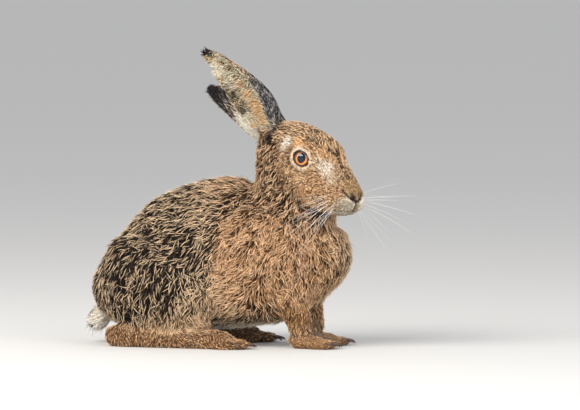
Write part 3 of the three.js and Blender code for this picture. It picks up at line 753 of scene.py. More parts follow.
HEAD_MARKS = (
    (302, 127, 17, "crown", 0.85), (320, 133, 14, "crown", 0.8), (285, 126, 12, "crown", 0.8),
    (333, 143, 11, "crown", 0.6), (339, 151, 7, "brow", 0.35), (342, 160, 7, "brow", 0.4),
    (272, 160, 15, "cheek", 0.9), (275, 180, 17, "cheek", 0.9), (292, 188, 13, "cheek", 0.6),
    (262, 150, 12, "cheek", 0.8), (316, 186, 13, "jaw", 0.8), (305, 196, 12, "jaw", 0.6),
    (333, 196, 9, "jaw", 0.5), (301, 144, 6.5, "brow", 0.85), (310, 147, 5, "brow", 0.6),
    (309, 172, 6.5, "nose", 0.5), (291, 142, 5, "white", 0.95), (287, 146, 4, "white", 0.85),
    (327, 170, 7.5, "pale", 0.8), (327, 169, 5.5, "white", 0.7), (320, 165, 5, "pale", 0.8),
    (332, 179, 6, "pale", 0.7), (351, 190, 8, "nose", 0.85), (350, 189, 5, "nose", 0.8),
    (346, 181, 6, "nose", 0.3), (345, 205, 6, "lip", 0.6), (350, 207, 6, "lip", 0.9),
    # At 363, 204 the white look paints light from behind over the far lip's pale hair, and the same again on
    # the near lip
    (363, 204, 6.5, "tail", 1.0), (334, 213, 7, "lip", 0.7), (344, 213, 7, "lip", 0.9),
    (330, 154, 2.4, "fleck", 1.0), (334, 157, 2.6, "fleck", 1.0), (338, 160.5, 2.4, "fleck", 1.0),
    (341, 165, 2.2, "fleck", 0.9), (344, 169, 2, "fleck", 0.9), (346, 174, 1.8, "fleck", 0.7),
    (344, 180, 1.6, "fleck", 0.6), (278, 128, 6.5, "fleck", 1.0), (259, 136, 5, "fleck", 1.0),
    (273, 136, 5, "fleck", 0.95), (268, 131, 3, "fleck", 0.6), (264, 142, 3, "fleck", 0.6),
    # The fleck at 353, 198 is dark bare skin and painted shade in the hollow where the nostrils meet the
    # cleft
    (349, 178, 1.8, "fleck", 0.7), (353, 198, 3.4, "fleck", 0.85), (323, 144, 1.8, "fleck", 0.8),
)

# Markings of the side that the camera sees only
NEAR_MARKS = (
    (347, 205, 7, "muzzle", 0.9), (341, 202, 5, "muzzle", 0.6), (352, 208, 3, "muzzle", 0.7),
    # At 363, 203 the white look paints light from behind over the far lip's pale hair
    # The fleck at 353, 198.5 is dark bare skin and painted shade in the hollow where the nostrils meet the
    # cleft
    (363, 203, 5.5, "tail", 1.0), (353, 198.5, 2.6, "fleck", 0.8),
)

# Markings inside the near ear, read in the picture and laid at the same places in the other ear
EAR_MARKS = (
    (209, 58, 4, "ear_fringe", 0.8), (216, 57, 3.2, "crown", 0.9), (224, 62, 3.6, "crown", 0.95),
    (231, 68, 3.6, "crown", 0.95), (238, 75, 3.4, "crown", 0.9), (244, 82, 3, "crown", 0.7),
    (221, 81, 4, "ear_fringe", 0.8), (227, 88, 6.5, "ear_hollow", 0.9), (233, 97, 7, "ear_hollow", 0.9),
    (240, 106, 6, "ear_hollow", 0.8), (228, 91, 3, "fleck", 0.9), (234, 100, 3, "fleck", 0.8),
    (246, 113, 3, "fleck", 0.75), (242, 109, 2.5, "fleck", 0.7), (243, 83, 4.5, "ear_fringe", 0.6),
    (250, 92, 5, "ear_fringe", 0.8), (257, 102, 5.5, "ear_fringe", 0.8), (262, 111, 6, "ear_fringe", 0.85),
    (267, 120, 6, "ear_fringe", 0.8), (217, 69, 6, "ear_back", 0.7), (233, 85, 5, "ear_back", 0.5),
)

# Markings that the picture doesn't show: a place in the body's frame, the reach along X, Y and Z, and a look
HIDDEN_MARKS = (
    ((-10, 0, 16), (105, 30, 16), "belly", 1.0), ((104, 0, 108), (16, 18, 34), "chest", 0.8),
    ((92, 0, 70), (18, 16, 30), "chest", 0.8), ((-30, -52, 26), (40, 16, 14), "low_flank", 0.8),
    ((78, -12, 40), (16, 10, 30), "chest", 0.7),
)

# Swells that make the edges of markings uneven: their size, their share of the reach and the seed
BODY_SWELLS = ((22 * MM, 0.16, 5), (8 * MM, 0.22, 15))
HEAD_SWELLS = ((7 * MM, 0.14, 6),)
TAIL_SWELLS = ((8 * MM, 0.2, 13),)

# The tail's upper side: how far up the stripe's skin faces, against how far forward
UPWARD_WEIGHT = 0.8
UPWARD = (0.0, 0.5)


def mixed(part):
    """A colour by its name, or two names and the share of the second."""
    if isinstance(part, str):
        return colour(part)
    first, second, share = part
    return blended(colour(first), colour(second), share)


def look_rows():
    return {name: np.concatenate([*map(mixed, look[:3]), look[3:]]) for name, look in LOOKS.items()}


def laid_over(rows, row, strength):
    return rows + strength[:, None] * (row - rows)


def marked(rows, points, places, reach, row, strength):
    distance = np.min([np.linalg.norm((points - place) / reach, axis=1) for place in places], axis=0)
    return laid_over(rows, row, strength * soft_spot(distance))


def uneven(points, swells):
    factor = np.ones(len(points))
    for size, share, seed in swells:
        factor += share * ripple(points, size, seed)
    return factor


def seen_marks(rows, tree, points, marks, swells, table, share, mirror=None):
    """Lays markings read in the picture on the skin, and on its far side too where there is a mirror."""
    reaches = uneven(points, swells)[:, None] * MM
    for px, py, reach, name, strength in marks:
        place, _ = seen_point(tree, px, py)
        places = (place, mirror(place)) if mirror else (place,)
        rows = marked(rows, points, places, reach * reaches, table[name], strength * share)
    return rows


def hidden_marks(rows, points, table, share):
    for place, reach, name, strength in HIDDEN_MARKS:
        near = ORIGIN + np.array(place) * MM
        places = (near, body_mirror(near))
        rows = marked(rows, points, places, np.array(reach) * MM, table[name], strength * share)
    return rows


def coat_looks(tree, points, normals, node_numbers, edges, shares):
    """The look at each point: the plain look of its part, and over it the markings."""
    table = look_rows()
    base = np.array([table[BASE_LOOKS[kind_of(name)]] for name in FLESH])
    rows = evened(base[node_numbers], edges, LOOK_ROUNDS)
    off_ears = 1 - shares["ear"]
    on_body = (1 - shares["head"]) * off_ears
    rows = seen_marks(rows, tree, points, BODY_MARKS, BODY_SWELLS, table, on_body, body_mirror)
    rows = hidden_marks(rows, points, table, on_body)
    rows = tail_looks(rows, points, normals, table, shares)
    rows = seen_marks(rows, tree, points, HEAD_MARKS, HEAD_SWELLS, table, off_ears, head_mirror)
    rows = seen_marks(rows, tree, points, NEAR_MARKS, HEAD_SWELLS, table, 1)
    rows = eye_ring_looks(rows, points, table)
    return ear_looks(tree, rows, points, normals, table, shares)


def tail_looks(rows, points, normals, table, shares):
    """A black stripe along the upper side of the tail."""
    aside = np.abs(points[:, 1] - ORIGIN[1]) / (TAIL_STRIPE * uneven(points, TAIL_SWELLS))
    upper = soft_step(UPWARD_WEIGHT * normals[:, 2] - normals[:, 0], *UPWARD)
    return laid_over(rows, table["black"], shares["tail"] * soft_spot(aside) * upper)


# The pale ring round each eye, in millimetres from the edge of the lids
RING_MIDDLE = 2.6
RING_HALF_WIDTH = 1.4
RING_WAVE = 0.5
RING_WAVE_SIZE = 4 * MM
RING_STRENGTH = 0.95


def eye_ring_looks(rows, points, table):
    local = to_head(points)
    for side in SIDES.values():
        along, away, turn = eye_turns(local, side)
        edge = (away - opening_radius(turn)) / MM
        wave = RING_WAVE * ripple(points, RING_WAVE_SIZE, seed=9)
        pale = soft_spot((edge - RING_MIDDLE - wave) / RING_HALF_WIDTH) * (along > EYE_FRONT)
        rows = laid_over(rows, table["ring"], pale * RING_STRENGTH)
    return rows


# Markings of the ears, from the root at 0 to the tip at 1: where each begins and where it is full,
# or where it ends and over what length it fades
BLACK_INSIDE = (0.915, 0.955)
BLACK_OUTSIDE = (0.66, 0.78)
FLECKS_OUTSIDE = (0.48, 0.6)
FLECKS_END, FLECKS_FADE = 0.95, 0.05
GREY_END, GREY_FADE = 0.76, 0.1
WHITE_END, WHITE_FADE = 0.6, 0.12
PALE_EDGE_END, PALE_EDGE_FADE = 0.8, 0.1

# The same markings across the ear, from its lower rim at -1 to its upper rim at 1
REAR_HALF = (-0.1, 0.3)
UPPER_RIM = (0.6, 0.8)
LOWER_EDGE = (0.9, 0.98)

GREY_STRENGTH = 0.7
PALE_EDGE_STRENGTH = 0.8
FLECKS_STRENGTH = 0.85
EAR_WAVE = 0.08
EAR_WAVE_SIZE = 9 * MM
TIP_WAVE_SHARE = 0.4


def ear_outside_looks(rows, place, wave, table, outside):
    """Grey hair, white and hollow behind towards the root."""
    t, rim = place["t"], place["rim"]
    rear = soft_step(-rim + wave, *REAR_HALF)
    rows = laid_over(rows, table["ear_outside"], outside)
    grey = rear * soft_step(GREY_END - t + wave, 0, GREY_FADE) * GREY_STRENGTH
    rows = laid_over(rows, table["ear_hollow"], outside * grey)
    return laid_over(rows, table["ear_back"], outside * rear * soft_step(WHITE_END - t + wave, 0, WHITE_FADE))


def ear_inside_looks(rows, place, right, marks, wave, table, inside):
    """Cream hair with the markings that the picture shows, laid at their places in the right ear."""
    rows = laid_over(rows, table["ear_inside"], inside)
    for (_, _, reach, name, strength), mark in zip(EAR_MARKS, marks):
        along = (place["t"] - right["t"][mark]) * EAR_REACH
        across = (place["rim"] - right["rim"][mark]) * EAR_HALF_WIDTH
        spot = soft_spot(np.hypot(along, across) * (1 + wave) / (reach * MM))
        rows = laid_over(rows, table[name], inside * strength * spot)
    return rows


def ear_end_looks(rows, place, wave, table, inside, outside, share):
    """A pale lower edge, black tips and a flecked upper rim."""
    t, rim = place["t"], place["rim"]
    pale_edge = soft_step(-rim, *LOWER_EDGE) * soft_step(PALE_EDGE_END - t, 0, PALE_EDGE_FADE)
    rows = laid_over(rows, table["ear_inside"], share * pale_edge * PALE_EDGE_STRENGTH)
    rows = laid_over(rows, table["black"], inside * soft_step(t + wave * TIP_WAVE_SHARE, *BLACK_INSIDE))
    rows = laid_over(rows, table["black"], outside * soft_step(t + wave, *BLACK_OUTSIDE))
    flecked = soft_step(t + wave, *FLECKS_OUTSIDE) * soft_step(FLECKS_END - t, 0, FLECKS_FADE)
    return laid_over(rows, table["crown"], outside * flecked * soft_step(rim, *UPPER_RIM) * FLECKS_STRENGTH)


def ear_looks(tree, rows, points, normals, table, shares):
    places = np.array([seen_point(tree, px, py)[0] for px, py, *_ in EAR_MARKS])
    right = ear_place(points, normals, "right", shares["ear_right"])
    marks = [np.linalg.norm(points - place, axis=1).argmin() for place in places]
    wave = EAR_WAVE * ripple(points, EAR_WAVE_SIZE, seed=7)
    for side in EARS:
        share = shares["ear_" + side]
        place = ear_place(points, normals, side, share)
        inside = place["inside"] * share
        outside = (1 - place["inside"]) * share
        rows = ear_outside_looks(rows, place, wave, table, outside)
        rows = ear_inside_looks(rows, place, right, marks, wave, table, inside)
        rows = ear_end_looks(rows, place, wave, table, inside, outside, share)
    return rows


# Building the skin

# How much of the evening the ears and the head are spared, and what is left of it at least
EAR_SPARED = 0.9
HEAD_SPARED = 0.75
LEAST_EVENING = 0.05


def make_skin_mesh():
    """The bare form of the skin, as wide as the solids."""
    meshes = [flesh_copy(name) for name in FLESH]
    meshes += [pad_mesh(side) for side in SIDES.values()]
    form = remeshed(meshes, settings().skin_grain)
    points, quads = largest_surface(vertex_array(form), corner_array(form).reshape(-1, 4))
    bpy.data.meshes.remove(form)
    return mesh_object("skin", points, quads).data


def even_form(mesh):
    """Evens the seams between the parts, least on the head and ears."""
    points, edges = vertex_array(mesh), edge_array(mesh)
    nodes = nearest_nodes(points)
    thin = share_of("ear", nodes, edges)
    face = share_of("head", nodes, edges)
    weights = np.clip(1 - EAR_SPARED * thin - HEAD_SPARED * face, LEAST_EVENING, 1)
    move_points(mesh, smooth_form(points, edges, weights, FORM_ROUNDS))


# The front of the head in its own frame: where it begins, and half its width and height
FACE_START = 22 * MM
FACE_ASIDE = 40 * MM
FACE_HEIGHT = 45 * MM


def divide_face(mesh):
    """Halves the faces of the front of the head, so that lids and nose have room for detail."""
    form = bmesh.new()
    form.from_mesh(mesh)
    x, y, z = to_head(np.array([face.calc_center_median() for face in form.faces])).T
    chosen = (x > FACE_START) & (np.abs(y) < FACE_ASIDE) & (np.abs(z) < FACE_HEIGHT)
    edges = {edge for face, pick in zip(form.faces, chosen) if pick for edge in face.edges}
    bmesh.ops.subdivide_edges(form, edges=list(edges), cuts=1, use_grid_fill=True)
    odd = [face for face in form.faces if len(face.verts) > 4]
    bmesh.ops.triangulate(form, faces=odd)
    form.to_mesh(mesh)
    form.free()
    mesh.polygons.foreach_set("use_smooth", np.ones(len(mesh.polygons), bool))


def move_points(mesh, points):
    mesh.vertices.foreach_set("co", points.astype(np.float32).ravel())
    mesh.update()


def skin_tree(mesh):
    triangles = triangle_array(mesh)
    return BVHTree.FromPolygons(vertex_array(mesh).tolist(), triangles.tolist())


# The skin's lowest level, and the height below which the solids' soles are flat
SKIN_FLOOR = 0.4 * MM
SOLE_HEIGHT = 1.2 * MM


def inset_by_coat(mesh, plan, edges):
    points, normals = vertex_array(mesh), evened(vertex_array(mesh, "normal"), edges, DEPTH_ROUNDS)
    sole = points[:, 2] < SOLE_HEIGHT
    points = points - unit(normals) * plan[:, DEPTH:DEPTH + 1] * MM
    points[:, 2] = np.where(sole, SKIN_FLOOR, np.maximum(points[:, 2], SKIN_FLOOR))
    return points


# Grooves of the nose and mouth in millimetres: depth, width, and the half width of dark and of bare skin; the
# dark also paints the shade inside the slit
NOSTRIL_GROOVE = (2.8, 1.0, 1.2, 2.4)
PHILTRUM_GROOVE = (2.6, 1.1, 1.1, 2.0)
MOUTH_GROOVE = (1.7, 0.95, 0.95, 2.0)

# The nostril is wider at its inner end: by how much, and over what reach in millimetres
NOSTRIL_FLARE = 0.7
NOSTRIL_FLARE_REACH = 3.5

# Soft folds in millimetres: height, distance from the line that they follow, and width
NOSTRIL_WING = (0.6, 2.6, 1.1)
LID_FOLD = (0.4, 2.4, 1.2)
SOCKET_FOLD = (0.6, 6.0, 1.4)
LOWER_SOCKET_SHARE = 0.4


def fold(away, height, middle_line, width):
    return height * MM * np.exp(-((away - middle_line) / width) ** 2)


def carve_face(points, normals, tree):
    """Lids, nostrils, the cleft of the lip, the line of the mouth and the folds beside the nose."""
    local = to_head(points)
    moved, dark, bare = np.zeros((3, len(points)))

    def groove(away, depth, width, dark_width, bare_width):
        moved[:] -= fold(away, depth, 0, width)
        # Dark bare skin along the groove, standing partly for the shade inside the slit
        dark[:] = np.maximum(dark, soft_spot(away / dark_width))
        bare[:] = np.maximum(bare, soft_spot(away / bare_width))

    for side in SIDES.values():
        line = on_skin(tree, MUZZLE_CENTRE, nostril_way(side))
        inner_end = np.linalg.norm(local - line[1], axis=1) / MM
        flare = 1 + NOSTRIL_FLARE * np.exp(-(inner_end / NOSTRIL_FLARE_REACH) ** 2)
        away = distance_to_line(local, line) / MM / flare
        groove(away, *NOSTRIL_GROOVE)
        moved += fold(away, *NOSTRIL_WING)
        along, away, turn = eye_turns(local, side)
        edge = (away - opening_radius(turn)) / MM
        near = along > EYE_FRONT
        upper = LOWER_SOCKET_SHARE + (1 - LOWER_SOCKET_SHARE) * (np.sin(turn) > 0)
        moved += near * fold(edge, *LID_FOLD)
        moved -= near * fold(edge, *SOCKET_FOLD) * upper
    for line_way, form in ((philtrum_way(), PHILTRUM_GROOVE), (mouth_way(), MOUTH_GROOVE)):
        line = on_skin(tree, MUZZLE_CENTRE, line_way)
        groove(distance_to_line(local, line) / MM, *form)
    return points + normals * moved[:, None], dark, bare


# Where the hair shortens and where the tufts thicken, in millimetres along the head
SHORTENING = (42, 84)
THICKENING = (20, 70)

# The same from the edge of the lids, and across an ear as shares of its half width
DEPTH_BY_EYE = (3.0, 11.0)
LENGTH_BY_EYE = (1.5, 10.0)
BARE_LIDS = (1.2, 1.7)
DARK_LIDS = (0.9, 1.7)
SHORT_RIM = (0.6, 0.92)

# The shares that are left at the nose, by the eye and at an ear's rim
NOSE_DEPTH = 0.4
NOSE_LENGTH = 0.34
EYE_DEPTH = 0.25
EYE_LENGTH = 0.32
RIM_LENGTH = 0.5
LEAST_WIDTH = 0.58

# Below, where the normals point down, fewer tufts are enough, and on the face more are needed
UNDERSIDE = (0.5, 0.9)
UNDERSIDE_LOSS = 0.6
FACE_GAIN = 1.6
BARE_SOLE = 2 * MM
FAR_AWAY = 99


def face_shortness(points, shares, least):
    """Falls to the least towards the nose, where the hair is shortest."""
    fall = soft_step(to_head(points)[:, 0] / MM, *SHORTENING) * shares["head"]
    return 1 - (1 - least) * fall


def ear_shortness(points, normals, shares):
    """The hair is shortest along the rims of the ears."""
    short = np.ones(len(points))
    for side in EARS:
        owned = shares["ear_" + side]
        rim = np.abs(ear_place(points, normals, side, owned)["rim"])
        short -= (1 - RIM_LENGTH) * soft_step(rim, *SHORT_RIM) * owned
    return short


def eye_distance(points):
    """Millimetres from the edge of the nearer eye's lids, along the skin's side of the eye."""
    local = to_head(points)
    nearest = np.full(len(points), float(FAR_AWAY))
    for side in SIDES.values():
        along, away, turn = eye_turns(local, side)
        edge = np.where(along > 0, (away - opening_radius(turn)) / MM, FAR_AWAY)
        nearest = np.minimum(nearest, edge)
    return nearest


def tuft_room(points, normals, shares, bare):
    """How thickly the tufts stand at each point: none on eyes, nostrils and soles, most on the face."""
    room = soft_step(eye_distance(points), *BARE_LIDS) * (1 - bare)
    room = room * (1 - UNDERSIDE_LOSS * soft_step(-normals[:, 2], *UNDERSIDE))
    room = room * (points[:, 2] > BARE_SOLE)
    face = soft_step(to_head(points)[:, 0] / MM, *THICKENING) * shares["head"]
    return room * (1 + FACE_GAIN * face)


# What the skin keeps at each point for the tufts
LOOK_LAYERS = {
    "look_root": ROOT, "look_middle": MIDDLE, "look_tip": TIP, "dark_share": DARK, "pale_share": PALE,
}
SKIN_LAYERS = (*PLAN_COLUMNS, *LOOK_LAYERS, "lie", "room", "node")


def keep_skin_values(mesh, points, plan, lie, rows, shares, bare, nodes):
    normals = vertex_array(mesh, "normal")
    short = face_shortness(points, shares, NOSE_LENGTH)
    by_eye = EYE_LENGTH + (1 - EYE_LENGTH) * soft_step(eye_distance(points), *LENGTH_BY_EYE)
    plan = plan.copy()
    plan[:, LENGTH] *= short * by_eye * ear_shortness(points, normals, shares)
    plan[:, WIDTH] *= LEAST_WIDTH + (1 - LEAST_WIDTH) * short * by_eye
    for column, name in enumerate(PLAN_COLUMNS):
        keep_values(mesh, name, plan[:, column])
    for name, columns in LOOK_LAYERS.items():
        keep_values(mesh, name, rows[:, columns])
    keep_values(mesh, "lie", lie)
    keep_values(mesh, "room", tuft_room(points, normals, shares, bare))
    keep_values(mesh, "node", nodes)


# How the skin's colour is made up: the root's share on long and on short hair, and the flecks of the tips
SKIN_ROOT_SHARE = 0.85
SKIN_SHORT_SHARE = 0.5
SKIN_FLECKS = 0.3
SKIN_FLECK_SIZE = 3 * MM
SKIN_FLECK_BAND = (-0.6, 0.9)


def paint_skin(mesh, points, rows, shares, dark):
    """The coat's colours in shade, finely flecked, with dark lids, and nostrils and cleft in dark skin and
    painted shade.
    """
    root, half, tip = rows[:, ROOT], rows[:, MIDDLE], rows[:, TIP]
    fine = soft_step(ripple(points, SKIN_FLECK_SIZE, seed=8), *SKIN_FLECK_BAND)[:, None]
    short = np.clip(shares["head"] + shares["ear"], 0, 1)[:, None]
    root_share = SKIN_ROOT_SHARE - SKIN_SHORT_SHARE * short
    flecks = SKIN_FLECKS * fine * short
    shown = blended(blended(half, root, root_share), tip, flecks)
    lid = 1 - soft_step(eye_distance(points), *DARK_LIDS)
    dark_skin = colour("bare_skin")
    shown = shown + np.maximum(dark, lid)[:, None] * (dark_skin - shown)
    paint(mesh, "coat", shown)


# Tufts: thin locks of three sides that lie along the skin, dark at the root and pale at the tip

TUFT_STEPS = {2: (0, 0.5, 1), 3: (0, 0.36, 0.72, 1)}
TUFT_WIDTHS = {2: (0.85, 0.8), 3: (0.7, 1.0, 0.62)}
TUFT_FLATNESS = 0.42
LEADERS = 0.11
WIDE_PATCHES = 0.07
FINE_PATCHES = 0.45
FACES_APART = 3 * MM
TUFT_ROOT_DEPTH = 0.8 * MM
FLOOR_CLEARANCE = 0.3 * MM
LEAST_HEIGHT = 0.3 * MM
STRAYS = 0.12
STRAY_RISE = 1.9

# The coat's two kinds of tuft, by their number of rings
LONG_TUFT = 3
SHORT_TUFT = 2

# The size of patches of paler and darker tufts, and the lengths in millimetres below which a coat is fine
# and above which it is wide
WIDE_PATCH = 9 * MM
FINE_PATCH = 3.2 * MM
FINE_LENGTH = 3.5
WIDE_LENGTH = 8

# How the tufts differ: the reach of chance, and the share at the lowest tone with its gain to the highest
LENGTH_CHANCE, LENGTH_BY_TONE = (0.7, 1.2), (0.78, 0.36)
RISE_CHANCE, RISE_BY_TONE = (0.8, 1.2), (0.66, 0.62)
DROP_CHANCE, DROP_BY_TONE = (0.5, 1.5), (0.6, 0.7)
WIDTH_CHANCE, WIDTH_BY_TONE = (0.75, 1.15), (1.12, -0.24)
HEIGHT_CHANCE = (0.6, 1.5)

# How tufts turn from the lie by chance and in waves, how they bend, and how much of their length lies flat
TURN_CHANCE = 0.8
TURN_WAVE = 0.9
TURN_WAVE_SIZE = 16 * MM
BEND_CHANCE = 0.2
LENGTH_LAID = 0.95
ROOT_DEPTH_SHARE = 0.18
GATHER_REACH = 0.6

# Soft borders between dark, plain and pale tufts, and how bright the palest tips may be: paler hair with a
# painted glint
DARK_BORDER = 0.08
PALE_BORDER = 0.03
TIP_GAIN = 1.65
BRIGHTEST = 0.92
COLOUR_CHANCE = 0.14
COLOUR_REACH = (0.6, 1.4)

# How colours run into each other: the middle's into the tip, the root's and the tip's into the rings
# between, the tip's into dark tips and the pale tip's, painted glint and all, into pale tufts
MIDDLE_IN_TIP = 0.3
ROOT_IN_LOWER_RING = 0.3
TIP_IN_UPPER_RING = 0.65
TIP_IN_DARK = 0.07
BRIGHT_IN_PALE = 0.75


def spread_roots(areas, count, draw):
    """Evenly spread picks of triangles, each with a place inside it."""
    total = np.cumsum(areas)
    marks = (np.arange(count) + draw.uniform(0, 1, count)) * (total[-1] / count)
    chosen = np.minimum(np.searchsorted(total, marks), len(areas) - 1)
    a, b = draw.uniform(0, 1, count), draw.uniform(0, 1, count)
    folded = a + b > 1
    a, b = np.where(folded, 1 - a, a), np.where(folded, 1 - b, b)
    return chosen, np.stack([1 - a - b, a, b], 1)


def skin_values(mesh):
    values = {name: read_values(mesh, name) for name in SKIN_LAYERS}
    values["point"] = vertex_array(mesh)
    values["normal"] = vertex_array(mesh, "normal")
    return values


def rooted(values, triangles, count, draw):
    """Roots on the given triangles, with every value of the skin there."""
    corners = values["point"][triangles]
    cross = np.cross(corners[:, 1] - corners[:, 0], corners[:, 2] - corners[:, 0])
    areas = np.linalg.norm(cross, axis=1) * values["room"][triangles].mean(1)
    chosen, shares = spread_roots(areas, count, draw)
    rows = triangles[chosen]
    found = {}
    for name, column in values.items():
        weights = shares[:, :, None] if column.ndim == 2 else shares
        found[name] = (column[rows] * weights).sum(1)
    return found


def in_locks(found, draw):
    """Damp hair lies in locks: each tuft bends to the nearest leader, and the leaders are the palest."""
    count = len(found["point"])
    apart = found["point"] + unit(found["normal"]) * FACES_APART
    leads = draw.uniform(0, 1, count) < LEADERS
    leaders = np.flatnonzero(leads)
    tree = KDTree(len(leaders))
    for number, leader in enumerate(leaders.tolist()):
        tree.insert(apart[leader], number)
    tree.balance()
    found["leader"] = leaders[[tree.find(point)[1] for point in apart.tolist()]]
    fine = soft_step(-found["length"], -WIDE_LENGTH, -FINE_LENGTH)
    patches = WIDE_PATCHES * ripple(found["point"], WIDE_PATCH, seed=21) * (1 - fine)
    patches += FINE_PATCHES * ripple(found["point"], FINE_PATCH, seed=22) * fine
    found["tone"] = (leads + draw.uniform(0, 1, count) + patches).argsort().argsort() / count


def varied(values, found, draw, chance, by_tone):
    """A value for each tuft, varied by chance and by the tuft's tone."""
    start, gain = by_tone
    return values * draw.uniform(*chance, len(values)) * (start + gain * found["tone"])


def laid_ways(found, normals, draw):
    """The way each tuft lies, turned a little from the coat's lie, and the way to its side."""
    chance = TURN_CHANCE * draw.normal(size=len(normals))
    wave = TURN_WAVE * ripple(found["point"], TURN_WAVE_SIZE, seed=11)
    turn = (np.radians(found["wander"]) * (chance + wave))[:, None]
    lie = flat_on(found["lie"], normals)
    lie = lie * np.cos(turn) + np.cross(normals, lie) * np.sin(turn)
    return lie, np.cross(normals, lie)


def tuft_paths(found, rings, draw, tree):
    """The middle line of each tuft, from its root to its tip; the pale ones lie longest and highest."""
    count = len(found["point"])
    normals = unit(found["normal"])
    lie, side = laid_ways(found, normals, draw)
    length = varied(found["length"] * MM, found, draw, LENGTH_CHANCE, LENGTH_BY_TONE)
    rise = varied(found["rise"], found, draw, RISE_CHANCE, RISE_BY_TONE)
    drop = rise - varied(found["tip_rise"], found, draw, DROP_CHANCE, DROP_BY_TONE)
    bend = draw.normal(size=count) * BEND_CHANCE
    steps = np.array(TUFT_STEPS[rings])
    along = LENGTH_LAID * steps[None, :, None] * lie[:, None, :]
    up = (rise[:, None] * steps - drop[:, None] * steps ** 2)[:, :, None] * normals[:, None, :]
    aside = (bend[:, None] * steps ** 2)[:, :, None] * side[:, None, :]
    paths = found["point"][:, None, :] + length[:, None, None] * (along + up + aside)
    paths[:, 0] -= normals * np.minimum(TUFT_ROOT_DEPTH, ROOT_DEPTH_SHARE * length)[:, None]
    stray = 1 + STRAY_RISE * (draw.uniform(0, 1, count) < STRAYS)
    highest = found["tip_rise"] * length * draw.uniform(*HEIGHT_CHANCE, count) * stray + LEAST_HEIGHT
    return held_close(gathered(paths, found, steps), steps, highest, tree), side, normals


def held_close(paths, steps, highest, tree):
    """Keeps the tips near the skin where it curves away, and out of it where it curves towards them."""
    near = [tree.find_nearest(tip)[:2] for tip in paths[:, -1].tolist()]
    places = np.array([row[0] for row in near])
    ways = np.array([row[1] for row in near])
    height = ((paths[:, -1] - places) * ways).sum(1)
    shift = (np.clip(height, LEAST_HEIGHT, highest) - height)[:, None] * ways
    return paths + shift[:, None, :] * (steps ** 2)[None, :, None]


def gathered(paths, found, steps):
    """Draws the tips of a lock together."""
    pull = paths[found["leader"], -1] - paths[:, -1]
    far = np.linalg.norm(pull, axis=1) / (found["length"] * MM)
    share = found["gather"] * np.exp(-(far / GATHER_REACH) ** 2)
    return paths + (share[:, None] * pull)[:, None, :] * (steps ** 2)[None, :, None]


def tuft_mesh(paths, side, normals, widths, rings):
    """Points and triangles of tufts with three sides, closed at the root and drawn to a point."""
    count = len(paths)
    profile = np.array(TUFT_WIDTHS[rings])
    half = (widths[:, None] * profile * 0.5)[:, :, None]
    middle_line = paths[:, :rings]
    left = middle_line - side[:, None] * half
    right = middle_line + side[:, None] * half
    top = middle_line + normals[:, None] * half * 2 * TUFT_FLATNESS
    ring_points = np.stack([left, right, top], 2).reshape(count, rings * 3, 3)
    points = np.concatenate([ring_points, paths[:, -1:]], 1)
    tip = rings * 3
    faces = [(0, 1, 2)]
    for ring in range(rings - 1):
        for corner in range(3):
            a, b = ring * 3 + corner, ring * 3 + (corner + 1) % 3
            faces += [(a, a + 3, b), (b, a + 3, b + 3)]
    last = tip - 3
    faces += [(last + corner, tip, last + (corner + 1) % 3) for corner in range(3)]
    faces = np.array(faces)
    every = (np.arange(count) * (tip + 1))[:, None, None] + faces[None]
    points[..., 2] = np.maximum(points[..., 2], FLOOR_CLEARANCE)
    return points.reshape(-1, 3), every.reshape(-1, 3)


def tuft_colours(found, rings, draw):
    """Colours from root to tip: tufts of low tone stay dark throughout, those of high tone paler, with a
    painted glint.
    """
    dark = soft_step(found["dark_share"] - found["tone"], -DARK_BORDER, DARK_BORDER)[:, None]
    pale = soft_step(found["tone"] - 1 + found["pale_share"], -PALE_BORDER, PALE_BORDER)[:, None]
    root, half, tip = found["look_root"], found["look_middle"], found["look_tip"]
    # Paler hair with a painted glint: the pale tufts' tips are brightened beyond the tip colour, up to near
    # white
    glinting_pale_tip = tip * np.minimum(TIP_GAIN, BRIGHTEST / tip.max(1))[:, None]
    tip = blended(tip, half, MIDDLE_IN_TIP)
    half = half + dark * (root - half) + pale * (blended(half, glinting_pale_tip, BRIGHT_IN_PALE) - half)
    tip = tip + dark * (blended(root, tip, TIP_IN_DARK) - tip) + pale * (glinting_pale_tip - tip)
    chance = draw.normal(1, COLOUR_CHANCE, len(tip)).clip(*COLOUR_REACH)[:, None]
    steps = [root, half, tip]
    if rings == LONG_TUFT:
        steps[1:2] = blended(half, root, ROOT_IN_LOWER_RING), blended(half, tip, TIP_IN_UPPER_RING)
    rows = [step * chance for step in steps[:-1] for _ in range(3)] + [steps[-1] * chance]
    return np.clip(np.stack(rows, 1), 0, 1).reshape(-1, 3)


# The bake's map in shares of its side: a tuft's patch, and the margin round each side of the flattened skin
PATCH = 0.003
MAP_MARGIN = 0.01


def unwrapped_roots(roots, normals):
    """Places of the roots on the skin laid out flat: six sides by the way the skin faces, in a grid."""
    axis = np.abs(normals).argmax(1)
    facing = normals[np.arange(len(roots)), axis] > 0
    low, high = roots.min(0), roots.max(0)
    share = (roots - low) / (high - low)
    place = np.zeros((len(roots), 2))
    for number in range(3):
        others = [other for other in range(3) if other != number]
        place[axis == number] = share[axis == number][:, others]
    cell = np.stack([axis, facing.astype(int)], 1)
    return (cell + MAP_MARGIN + (1 - 2 * MAP_MARGIN) * place) / (3, 2)


def lay_out_tufts(mesh, roots, normals, rings):
    """The bake's map: each tuft is a small patch at its root's place on the flattened skin."""
    centres = unwrapped_roots(roots, normals)
    ring_places = [(aside, step) for step in TUFT_STEPS[rings][:-1] for aside in (0, 1, 0.5)]
    spread = (np.array(ring_places + [(0.5, 1)]) - 0.5) * PATCH
    corners = (centres[:, None] + spread[None]).reshape(-1, 2)[corner_array(mesh)]
    layer = mesh.uv_layers.new(name="OFBake")
    layer.uv.foreach_set("vector", np.clip(corners, 0, 1).astype(np.float32).ravel())


WHOLE_LENGTH = (-200, 200)

